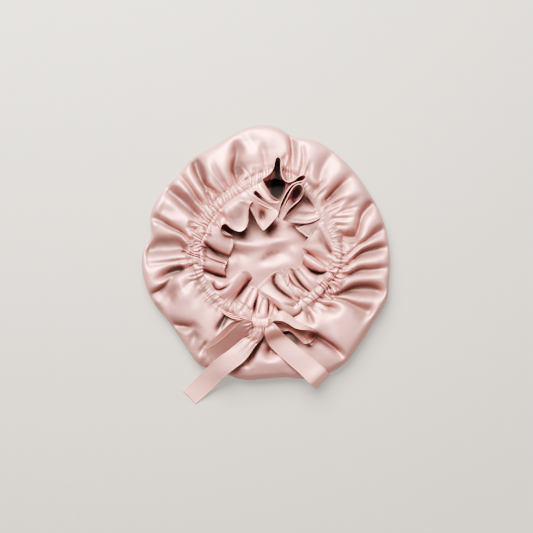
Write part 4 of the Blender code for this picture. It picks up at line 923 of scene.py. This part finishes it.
def build_crown(material):
    rows = crown_rings()
    bag, ring, turn = wrapped_rows(len(rows), CROWN_TURNS)
    points, shade = crown_points(rows[ring], turn)
    lay(bag, points)
    paint_shade(bag, shade)
    flat_radius = np.interp(rows[ring], FLAT_ROWS, FLAT_RADII)
    turn_r = np.radians(turn)
    flat = np.stack([flat_radius * np.cos(turn_r), flat_radius * np.sin(turn_r)], axis=1) * MM
    paint_flat(bag, flat)
    last = {vert for vert, k in zip(bag.verts, ring) if k == len(rows) - 1}
    close_seam(bag)
    edges = [edge for edge in bag.edges if edge.is_boundary and set(edge.verts) <= last]
    bmesh.ops.edgeloop_fill(bag, edges=edges)
    bmesh.ops.recalc_face_normals(bag, faces=bag.faces[:])
    crown = finish_piece("crown_cloth", bag, material, "crown")
    thicken(crown, CROWN_WALL, -1)
    return crown


def build_casing(material):
    """The gathered band: the elastic's tunnel and the crown's cloth drawn up beside it, in one ring."""
    ring, side, angle = wrapped_rows(GATHER_ROWS + 4, GATHER_TURNS)
    # Rows run from under the ruffle's side over the top to the crown, and two more close the ring below.
    over = np.clip((side - 1) / GATHER_ROWS, 0, 1)
    out = -TUNNEL_HALF + (GATHER_OUT + TUNNEL_HALF) * over
    middle = around(CASING_LINE, angle)
    inner = middle + CASING_WIDTH / 2 + CROWN_GAP
    ways, heights, folds = section(np.linspace(0, BAND_LEVELS, BAND_STEPS))
    way = (middle + out - inner) / (around(RIM, angle) - inner)
    base, share = np.interp(way, ways, heights), np.interp(way, ways, folds)
    high, depth, ridges, _ = crown_top(angle, middle + out, base, share)
    across = np.clip(np.abs(out) / TUNNEL_HALF, 0, 1)
    drawn = np.clip(around(DRAWS, angle), 0.3, 1)
    tunnel = CASING_HEIGHT + TUNNEL_RISE + CASING_RISE * drawn * np.sqrt(1 - across**2) ** 0.8 + ridges
    # Where the elastic draws little, the tunnel runs into the crown without a step.
    even = JOIN_SPREAD * (1 - drawn)
    mixed = smooth((out - CASING_WIDTH / 2 + JOIN_IN + even / 2) / (JOIN_LEAST + even))
    high = tunnel + (high - tunnel) * mixed
    tuck = GATHER_TUCK * smooth((out - GATHER_OUT + TUCK_FADE) / TUCK_FADE)
    high = high - tuck - LIP_DROP * (side == 0)
    below = (side == 0) | (side >= GATHER_ROWS + 2)
    high = np.where(below, np.minimum(high, CASING_HEIGHT) - BAND_DROP, high)
    place = np.where(side >= GATHER_ROWS + 3, middle - TUNNEL_HALF, middle + out)
    points = polar(angle, place, high)
    lay(ring, points)
    # Painted shade in the valleys and in the gaps between the small ridges.
    shade = np.maximum(fold_shade(depth), gap_shade(angle, out, ridges))
    paint_shade(ring, np.maximum(shade, painted_place_shade(points)))
    paint_flat(ring, np.stack([np.radians(angle) * FLAT_TURN, out * MM], axis=1))
    close_seam(ring)
    bmesh.ops.recalc_face_normals(ring, faces=ring.faces[:])
    return finish_piece("casing_cloth", ring, material, "elastic_casing")


def hem_columns():
    """Each column of HEMS, with its ends repeated and the angles unwound so that they run on past 360."""
    columns = {}
    for name in Hem._fields:
        value = np.array([getattr(hem, name) for hem in HEMS], float)
        lap = 0.0
        if name == "root":
            value = np.degrees(np.unwrap(np.radians(value)))
            lap = 360.0
        columns[name] = np.concatenate([value[-CLOSED_LAP:] - lap, value, value[:CLOSED_LAP] + lap])
    return columns


def ruffle_points(share, down):
    """Points of the ruffle: share of the rows of HEMS passed, and down from casing to free edge."""
    columns = hem_columns()
    at = np.arange(len(HEMS) + 2 * CLOSED_LAP, dtype=float)
    row = {name: through(at, column, CLOSED_LAP + share * len(HEMS)) for name, column in columns.items()}
    turn = np.mod(row["root"], 360)
    casing = around(CASING_LINE, turn)
    # In front the cloth comes from beyond the casing and hides it.
    over = smooth((turn - OVER_FROM) / OVER_FADE) * smooth((OVER_TO - turn) / OVER_FADE)
    root = casing - CASING_WIDTH / 2 + 0.5 + OVER_OUT * over
    start = polar(row["root"], root, CASING_HEIGHT + TUNNEL_RISE + OVER_UP * over)
    edge = np.stack([row["x"], row["y"], row["height"]], axis=1) * MM
    rise = np.maximum(row["height"] - CASING_HEIGHT, 0.0)
    dip = np.maximum(row["dip"], 0.0)
    stands = smooth(np.maximum(dip / DIP_FULL, (row["height"] - STAND_FROM) / STAND_SPAN))
    dips = smooth(dip / DIP_FULL)
    crest = row["crest"] * (1 - CREST_LOSS * over)
    leave_up = LEAVE_UP + (rise * 3 / 4) * (1 - stands) - DIP_DOWN * dips + crest + OVER_RISE * over
    leave_in = LEAVE_IN * (1 - stands * (1 - dips)) + rise / 4 * (1 - stands) + dip + OVER_OUT * over
    first = start + polar(row["root"], -leave_in, leave_up)
    up = np.zeros_like(start)
    up[:, 2] = row["billow"] * MM
    lying = edge + (start - edge) * BILLOW_AT + up
    standing = edge.copy()
    standing[:, 2] -= STAND_STRAIGHT * MM
    second = lying + (standing - lying) * stands[:, None]
    d = down[:, None]
    keep = 1 - d
    points = start * keep**3 + first * 3 * keep**2 * d + second * 3 * keep * d**2 + edge * d**3
    ridges = ridge_field(row["root"], -CASING_WIDTH / 2 - down * RUFFLE_DEPTH)
    points[:, 2] += ridges * smooth((HEM_RIDGES - down) / HEM_RIDGE_FADE) * MM
    depth = press_field(turn, points[:, 0] / MM, points[:, 1] / MM) * smooth(down / PRESS_FROM)
    turned = HEM_TALL * smooth((HEM_WIDTH / RUFFLE_DEPTH - (1 - down)) * RUFFLE_DEPTH / HEM_STEP + 1)
    points[:, 2] += turned * (1 - stands) * MM
    # Painted shade: on the low returns between the folds, but not where the cloth comes over the casing, and
    # in the pressed valleys.
    low = LOW_SHADE * smooth((LOW_FROM - row["height"]) / LOW_SPAN)
    low = low * (1 - over * smooth((LIT_TO - down) / LIT_FADE))
    points[:, 2] = np.maximum(points[:, 2] - depth * MM, np.minimum(points[:, 2], RUFFLE_LOWEST * MM))
    folded = fold_shade(depth * PRESS_SHADE) * PRESS_SHADE
    return points, np.maximum(np.maximum(folded, low), painted_place_shade(points))


def build_ruffle(material):
    frill, ring, turn = wrapped_rows(RUFFLE_ROWS + 1, RUFFLE_TURNS)
    hem = 1 - (HEM_WIDTH + 1) / RUFFLE_DEPTH
    down = np.interp(ring, [0, RUFFLE_ROWS - HEM_ROWS, RUFFLE_ROWS], [0, hem, 1])
    points, shade = ruffle_points(turn / 360, down)
    lay(frill, points)
    paint_shade(frill, shade)
    paint_flat(frill, np.stack([np.radians(turn) * FLAT_TURN, down * RUFFLE_FLAT], axis=1))
    close_seam(frill)
    bmesh.ops.recalc_face_normals(frill, faces=frill.faces[:])
    ruffle = finish_piece("ruffle_cloth", frill, material, "ruffle")
    thicken(ruffle, RUFFLE_WALL, 0)
    return ruffle


# ---------------------------------------------------------------- the bow


class Bed:
    """What the bow lies on: the pieces made so far, and the table."""

    def __init__(self):
        self.trees = []

    def add(self, piece):
        self.trees.append(BVHTree.FromObject(piece, bpy.context.evaluated_depsgraph_get()))

    def height(self, x, y):
        top = 0.0
        for tree in self.trees:
            hit = tree.ray_cast(Vector((x, y, 200)) * MM, Vector((0, 0, -1)))[0]
            if hit is not None:
                top = max(top, hit.z / MM)
        return top


def laid_heights(bed, near, far, drape):
    """The height of a ribbon laid on the bed: it bridges the hollows and clears the crests."""
    under = np.zeros(len(near))
    for k in range(len(near)):
        across = (far[k] - near[k]) * BED_WIDER
        spots = np.linspace(-BED_BEFORE, 1.0, BED_SPOTS)
        under[k] = max(bed.height(*(near[k] + across * f)) for f in spots)
    height = under.copy()
    for _ in range(drape):
        height = np.maximum(evened(height), under)
    # Cloth bends over an edge in a curve, so the sharp bends are evened and the ribbon lifted to clear.
    bent = height
    for _ in range(BEND_PASSES):
        bent = evened(bent)
    short = np.maximum(under - bent, 0)
    lift = np.array([short[max(k - BEND_REACH, 0):k + BEND_REACH + 1].max() for k in range(len(short))])
    for _ in range(BEND_PASSES // 2):
        lift = evened(lift)
    return np.maximum(bent + lift, under)


def evened(height):
    """One pass of evening out a row of heights, with its ends held."""
    level = height.copy()
    level[1:-1] = (height[:-2] + 2 * height[1:-1] + height[2:]) / 4
    return level


def build_ribbon(name, node, rows, steps, bed, material, drape=60):
    """A ribbon of the bow, laid on the bed row by row and pleated where it is squeezed."""
    at = np.arange(len(rows), dtype=float)
    where = np.linspace(0, len(rows) - 1, steps + 1)
    row = {key: through(at, np.array([getattr(lay_row, key) for lay_row in rows], float), where)
           for key in Lay._fields}
    near = np.stack([row["ax"], row["ay"]], axis=1)
    far = np.stack([row["bx"], row["by"]], axis=1)
    height = laid_heights(bed, near, far, drape)
    strip = bmesh.new()
    bmesh.ops.create_grid(strip, x_segments=steps, y_segments=RIBBON_LANES, size=0.5)
    place = np.array([vert.co for vert in strip.verts])
    k = np.rint((place[:, 0] + 0.5) * steps).astype(int)
    # The lanes are closer together towards both edges.
    side = np.clip(place[:, 1] * 2, -1, 1)
    f = 0.5 + 0.5 * np.sign(side) * (1 - (1 - np.abs(side)) ** LANE_CROWD)
    flat_width = np.hypot(far[:, 0] - near[:, 0], far[:, 1] - near[:, 1])
    width = np.hypot(flat_width, row["bz"] - row["az"])[k]
    # Where the ribbon is squeezed narrower than its cut, its width goes into small pleats.
    spare = np.sqrt(np.maximum(RIBBON_WIDTH**2 - width**2, 0)) / (4 * PLEATS)
    phase = TAU * (PLEATS * f + 0.08 * np.sin(k * 0.23) + 0.1 * np.sin(k * 0.09 + 9 * f))
    pleat = np.clip(row["pleat"][k], 0, 1) * spare * (1 + np.cos(phase))
    length = np.concatenate([[0], np.cumsum(np.hypot(*np.diff((near + far) / 2, axis=0).T))])
    ripple = RIBBON_WAVE * np.sin(length[k] / 9 + 2.4 * f) * np.sin(length[k] / 23 + 1) * 4 * f * (1 - f)
    from_edge = (0.5 - np.abs(f - 0.5)) * RIBBON_WIDTH
    selvedge = SELVEDGE_TALL * np.exp(-(((from_edge - SELVEDGE_AT) / SELVEDGE_HALF) ** 2))
    arch = row["arch"][k] * 4 * f * (1 - f)
    flat_place = near[k] + (far - near)[k] * f[:, None]
    up = height[k] + row["az"][k] + (row["bz"] - row["az"])[k] * f + arch + pleat + ripple + selvedge
    points = np.concatenate([flat_place, up[:, None]], axis=1) * MM
    paint_flat(strip, np.stack([length[k], f * RIBBON_WIDTH], axis=1) * MM)
    # Painted shade, given row by row in the tables of lays.
    paint_shade(strip, np.clip(row["shade"][k], 0, 1))
    lay(strip, points)
    bmesh.ops.recalc_face_normals(strip, faces=strip.faces[:])
    ribbon = finish_piece(name, strip, material, node)
    thicken(ribbon, RIBBON_WALL, 0)
    bed.add(ribbon)
    return ribbon


def knot_height(bed):
    """The height of the knot's middle over what it lies on."""
    spots = [(KNOT_FROM[0] + (KNOT_TO[0] - KNOT_FROM[0]) * f, KNOT_FROM[1] + g * KNOT_HALF[0])
             for f in np.linspace(0, 1, 5) for g in (-0.9, -0.4, 0, 0.4, 0.9)]
    return max(bed.height(x, y) for x, y in spots) + KNOT_LIFT


def build_knot(bed, material, height):
    """The ribbon round the bow's middle: a flattened tube with creases across it, closed at its ends."""
    knot, row, turn = wrapped_rows(KNOT_ROWS + 1, KNOT_TURNS)
    dice = np.random.default_rng(KNOT_SEED)
    f = row / KNOT_ROWS
    end = np.minimum(f, 1 - f)
    closed = np.clip(end / KNOT_END, 0, 1) ** 0.5
    x = KNOT_FROM[0] + (KNOT_TO[0] - KNOT_FROM[0]) * (0.03 + 0.94 * f)
    y = KNOT_FROM[1] + (KNOT_TO[1] - KNOT_FROM[1]) * f
    roll = np.radians(turn)
    across, up = np.cos(roll), np.sin(roll)
    shape = (np.abs(across) ** KNOT_SQUARE + np.abs(up) ** KNOT_SQUARE) ** (-1 / KNOT_SQUARE)
    wrinkle = np.zeros_like(f)
    for at, wide, slant, deep in zip(
        dice.uniform(0.08, 0.92, KNOT_WRINKLES), dice.uniform(0.05, 0.1, KNOT_WRINKLES),
        dice.normal(0, 0.04, KNOT_WRINKLES), dice.uniform(0.1, 0.4, KNOT_WRINKLES),
    ):
        wrinkle += deep * np.exp(-np.abs((f - at - slant * across) / wide) ** 1.5)
    swell = 1 - 0.10 * np.cos((f - 0.5) * TAU) + 0.05 * np.sin(f * 7)
    half_y = KNOT_HALF[0] * swell * closed
    half_z = KNOT_HALF[1] * swell * closed
    sides = np.stack([
        x, y + across * shape * half_y - wrinkle * across * KNOT_WRINKLE_SIDE * closed,
        height + up * shape * half_z - wrinkle * np.maximum(up, 0) * closed,
    ], axis=1) * MM
    lay(knot, sides)
    paint_flat(knot, np.stack([roll * 6, f * RIBBON_WIDTH], axis=1) * MM)
    # Painted shade: darker on the knot's side towards -Y, away from the lamps, and in its wrinkles.
    paint_shade(knot, KNOT_SHADE * smooth(0.2 - across) + 0.6 * wrinkle)
    close_seam(knot)
    rim = [edge for edge in knot.edges if edge.is_boundary]
    bmesh.ops.edgeloop_fill(knot, edges=rim)
    bmesh.ops.recalc_face_normals(knot, faces=knot.faces[:])
    piece = finish_piece("knot_cloth", knot, material, "ribbon_knot")
    bed.add(piece)
    return piece


# ---------------------------------------------------------------- finishes


def group(name, inputs, outputs):
    """An empty node group with its sockets named. Returns the tree, its input node and its output node."""
    tree = bpy.data.node_groups.new(name, "ShaderNodeTree")
    for socket, kind in inputs:
        tree.interface.new_socket(socket, in_out="INPUT", socket_type=kind)
    for socket, kind in outputs:
        tree.interface.new_socket(socket, in_out="OUTPUT", socket_type=kind)
    return tree, tree.nodes.new("NodeGroupInput"), tree.nodes.new("NodeGroupOutput")


def noise(tree, place, scale, detail, roughness=0.5):
    node = tree.nodes.new("ShaderNodeTexNoise")
    node.inputs["Scale"].default_value = scale
    node.inputs["Detail"].default_value = detail
    node.inputs["Roughness"].default_value = roughness
    tree.links.new(place, node.inputs["Vector"])
    return node.outputs["Fac"]


def stretched(tree, place, scale):
    node = tree.nodes.new("ShaderNodeMapping")
    node.inputs["Scale"].default_value = scale
    tree.links.new(place, node.inputs["Vector"])
    return node.outputs["Vector"]


def spread(tree, value, low, high, to_low, to_high):
    node = tree.nodes.new("ShaderNodeMapRange")
    for socket, number in zip(("From Min", "From Max", "To Min", "To Max"), (low, high, to_low, to_high)):
        node.inputs[socket].default_value = number
    tree.links.new(value, node.inputs["Value"])
    return node.outputs["Result"]


def blend(tree, kind, factor, first, second):
    """Blends two colours. The factor may be a number or a socket, and so may each colour."""
    node = tree.nodes.new("ShaderNodeMix")
    node.data_type = "RGBA"
    node.blend_type = kind
    for socket, value in ((node.inputs[0], factor), (node.inputs[6], first), (node.inputs[7], second)):
        if isinstance(value, bpy.types.NodeSocket):
            tree.links.new(value, socket)
        else:
            socket.default_value = value
    return node.outputs[2]


def satin_weave():
    """The weave: long floats of thread along the cloth, crossed by finer ones, over a soft crumple."""
    tree, given, result = group(
        "satin_weave",
        [("Cloth", "NodeSocketVector"), ("Place", "NodeSocketVector"), ("Thread", "NodeSocketFloat"),
         ("Crumple", "NodeSocketFloat")],
        [("Normal", "NodeSocketVector")],
    )
    floats = noise(tree, stretched(tree, given.outputs["Cloth"], (260, 3800, 1)), 1.0, 2)
    across = noise(tree, stretched(tree, given.outputs["Cloth"], (3000, 500, 1)), 1.0, 2)
    soft = noise(tree, given.outputs["Place"], 95.0, 3, 0.55)
    fine = tree.nodes.new("ShaderNodeMath")
    fine.operation = "MULTIPLY_ADD"
    tree.links.new(across, fine.inputs[0])
    fine.inputs[1].default_value = 0.5
    tree.links.new(floats, fine.inputs[2])
    crumple = tree.nodes.new("ShaderNodeBump")
    crumple.inputs["Distance"].default_value = 0.0012
    tree.links.new(given.outputs["Crumple"], crumple.inputs["Strength"])
    tree.links.new(soft, crumple.inputs["Height"])
    thread = tree.nodes.new("ShaderNodeBump")
    thread.inputs["Distance"].default_value = 0.00012
    tree.links.new(given.outputs["Thread"], thread.inputs["Strength"])
    tree.links.new(fine.outputs[0], thread.inputs["Height"])
    tree.links.new(crumple.outputs["Normal"], thread.inputs["Normal"])
    tree.links.new(thread.outputs["Normal"], result.inputs["Normal"])
    return tree


def satin_tone_and_shade():
    """The rose of the cloth, a little uneven and streaked along the thread, with painted shade: richer and
    darker where folds close.
    """
    tree, given, result = group(
        "satin_tone_and_shade",
        [("Cloth", "NodeSocketVector"), ("Place", "NodeSocketVector"), ("Shade", "NodeSocketFloat"),
         ("Rose", "NodeSocketColor"), ("Shade Tone", "NodeSocketColor")],
        [("Color", "NodeSocketColor"), ("Gloss", "NodeSocketFloat")],
    )
    patches = spread(tree, noise(tree, given.outputs["Place"], 22.0, 3), 0.3, 0.7, 0.93, 1.05)
    along = stretched(tree, given.outputs["Cloth"], (60, 900, 1))
    streaks = spread(tree, noise(tree, along, 1.0, 3), 0.25, 0.75, 0.94, 1.05)
    uneven = tree.nodes.new("ShaderNodeMath")
    uneven.operation = "MULTIPLY"
    tree.links.new(patches, uneven.inputs[0])
    tree.links.new(streaks, uneven.inputs[1])
    tone = tree.nodes.new("ShaderNodeHueSaturation")
    tree.links.new(uneven.outputs[0], tone.inputs["Value"])
    # Painted shade: the higher the shade attribute, the richer the rose, and then it turns to the shade tone.
    richer = spread(tree, given.outputs["Shade"], 0, 0.5, 1.0, 1.1)
    tree.links.new(richer, tone.inputs["Saturation"])
    tree.links.new(given.outputs["Rose"], tone.inputs["Color"])
    shaded = blend(tree, "MIX", given.outputs["Shade"], tone.outputs["Color"], given.outputs["Shade Tone"])
    tree.links.new(shaded, result.inputs["Color"])
    gloss = spread(tree, noise(tree, given.outputs["Place"], 40.0, 3), 0.3, 0.7, -0.05, 0.05)
    tree.links.new(gloss, result.inputs["Gloss"])
    return tree


def satin(finish, weave, tone):
    """A satin finish. Metallic stands in for the sheen of the threads."""
    material = bpy.data.materials.new(finish.name)
    material.use_nodes = True
    tree = material.node_tree
    surface = tree.nodes["Principled BSDF"]
    place = tree.nodes.new("ShaderNodeTexCoord")
    cloth = tree.nodes.new("ShaderNodeUVMap")
    cloth.uv_map = "cloth"
    shade = tree.nodes.new("ShaderNodeAttribute")
    shade.attribute_name = "shade"
    woven = tree.nodes.new("ShaderNodeGroup")
    woven.node_tree = weave
    dyed_and_shaded = tree.nodes.new("ShaderNodeGroup")
    dyed_and_shaded.node_tree = tone
    for user in (woven, dyed_and_shaded):
        tree.links.new(cloth.outputs["UV"], user.inputs["Cloth"])
        tree.links.new(place.outputs["Object"], user.inputs["Place"])
    # The shade attribute carries painted shade into the colour.
    tree.links.new(shade.outputs["Fac"], dyed_and_shaded.inputs["Shade"])
    woven.inputs["Thread"].default_value = finish.thread
    woven.inputs["Crumple"].default_value = finish.crumple
    dyed_and_shaded.inputs["Rose"].default_value = (*finish.rose, 1)
    dyed_and_shaded.inputs["Shade Tone"].default_value = (*PAINTED_SHADE_TONE, 1)
    rough = tree.nodes.new("ShaderNodeMath")
    rough.operation = "ADD"
    rough.inputs[1].default_value = finish.roughness
    tree.links.new(dyed_and_shaded.outputs["Gloss"], rough.inputs[0])
    tree.links.new(dyed_and_shaded.outputs["Color"], surface.inputs["Base Color"])
    tree.links.new(rough.outputs[0], surface.inputs["Roughness"])
    tree.links.new(woven.outputs["Normal"], surface.inputs["Normal"])
    surface.inputs["Metallic"].default_value = finish.metallic
    return material


def floor_finish():
    """The pale table, very slightly uneven."""
    material = bpy.data.materials.new("pale_floor")
    material.use_nodes = True
    tree = material.node_tree
    surface = tree.nodes["Principled BSDF"]
    place = tree.nodes.new("ShaderNodeTexCoord")
    mottle = spread(tree, noise(tree, place.outputs["Object"], 60.0, 4), 0.3, 0.7, 0.985, 1.015)
    tone = tree.nodes.new("ShaderNodeHueSaturation")
    tone.inputs["Color"].default_value = (*FLOOR_TONE, 1)
    tree.links.new(mottle, tone.inputs["Value"])
    tree.links.new(tone.outputs["Color"], surface.inputs["Base Color"])
    surface.inputs["Roughness"].default_value = FLOOR_ROUGH
    surface.inputs["Emission Color"].default_value = (*GLOW_TONE, 1)
    surface.inputs["Emission Strength"].default_value = FLOOR_GLOW
    return material


# ---------------------------------------------------------------- room


def set_room():
    floor = bmesh.new()
    bmesh.ops.create_grid(floor, x_segments=1, y_segments=1, size=FLOOR_HALF)
    mesh = bpy.data.meshes.new("floor")
    floor.to_mesh(mesh)
    floor.free()
    mesh.materials.append(floor_finish())
    ground = bpy.data.objects.new("floor", mesh)
    bpy.context.scene.collection.objects.link(ground)

    scene = bpy.context.scene
    scene.view_settings.view_transform = "AgX"
    scene.view_settings.look = "AgX - High Contrast"
    scene.view_settings.exposure = EXPOSURE
    world = bpy.data.worlds.new("studio")
    scene.world = world
    world.use_nodes = True
    world.node_tree.nodes["Background"].inputs["Color"].default_value = (*STUDIO_TONE, 1)
    world.node_tree.nodes["Background"].inputs["Strength"].default_value = STUDIO_STRENGTH

    for lamp in LAMPS:
        add_lamp(lamp)


def add_lamp(lamp):
    """A soft square light that faces the bonnet."""
    light = bpy.data.lights.new(lamp.name, "AREA")
    light.size = lamp.size
    light.energy = lamp.watts
    light.color = LAMP_TONE
    hung = bpy.data.objects.new(lamp.name, light)
    bpy.context.scene.collection.objects.link(hung)
    hung.location = lamp.place
    hung.rotation_euler = (-Vector(lamp.place)).to_track_quat("-Z", "Y").to_euler()


def set_camera():
    camera = bpy.data.cameras.new("camera")
    camera.lens = camera.sensor_width * CAMERA_HEIGHT / FRAME_WIDTH
    view = bpy.data.objects.new("camera", camera)
    bpy.context.scene.collection.objects.link(view)
    view.location = (*VIEW_CENTRE, CAMERA_HEIGHT)
    bpy.context.scene.camera = view


def main():
    weave, tone = satin_weave(), satin_tone_and_shade()
    satin_cloth, ribbon_cloth = satin(SATIN, weave, tone), satin(RIBBON, weave, tone)
    bed = Bed()
    bed.add(build_crown(satin_cloth))
    bed.add(build_casing(satin_cloth))
    bed.add(build_ruffle(satin_cloth))
    middle = knot_height(bed)
    build_ribbon("lead_left", "ribbon_lead_left", LEAD_LEFT, 60, bed, ribbon_cloth)
    build_ribbon("lead_right", "ribbon_lead_right", LEAD_RIGHT, 40, bed, ribbon_cloth)
    build_ribbon("loop_left", "ribbon_loop_left", LOOP_LEFT, 200, bed, ribbon_cloth)
    build_ribbon("loop_right", "ribbon_loop_right", LOOP_RIGHT, 200, bed, ribbon_cloth)
    build_knot(bed, ribbon_cloth, middle)
    build_ribbon("tail_left", "ribbon_tail_left", TAIL_LEFT, 160, bed, ribbon_cloth, 700)
    build_ribbon("tail_right", "ribbon_tail_right", TAIL_RIGHT, 140, bed, ribbon_cloth, 400)
    set_room()
    set_camera()


main()
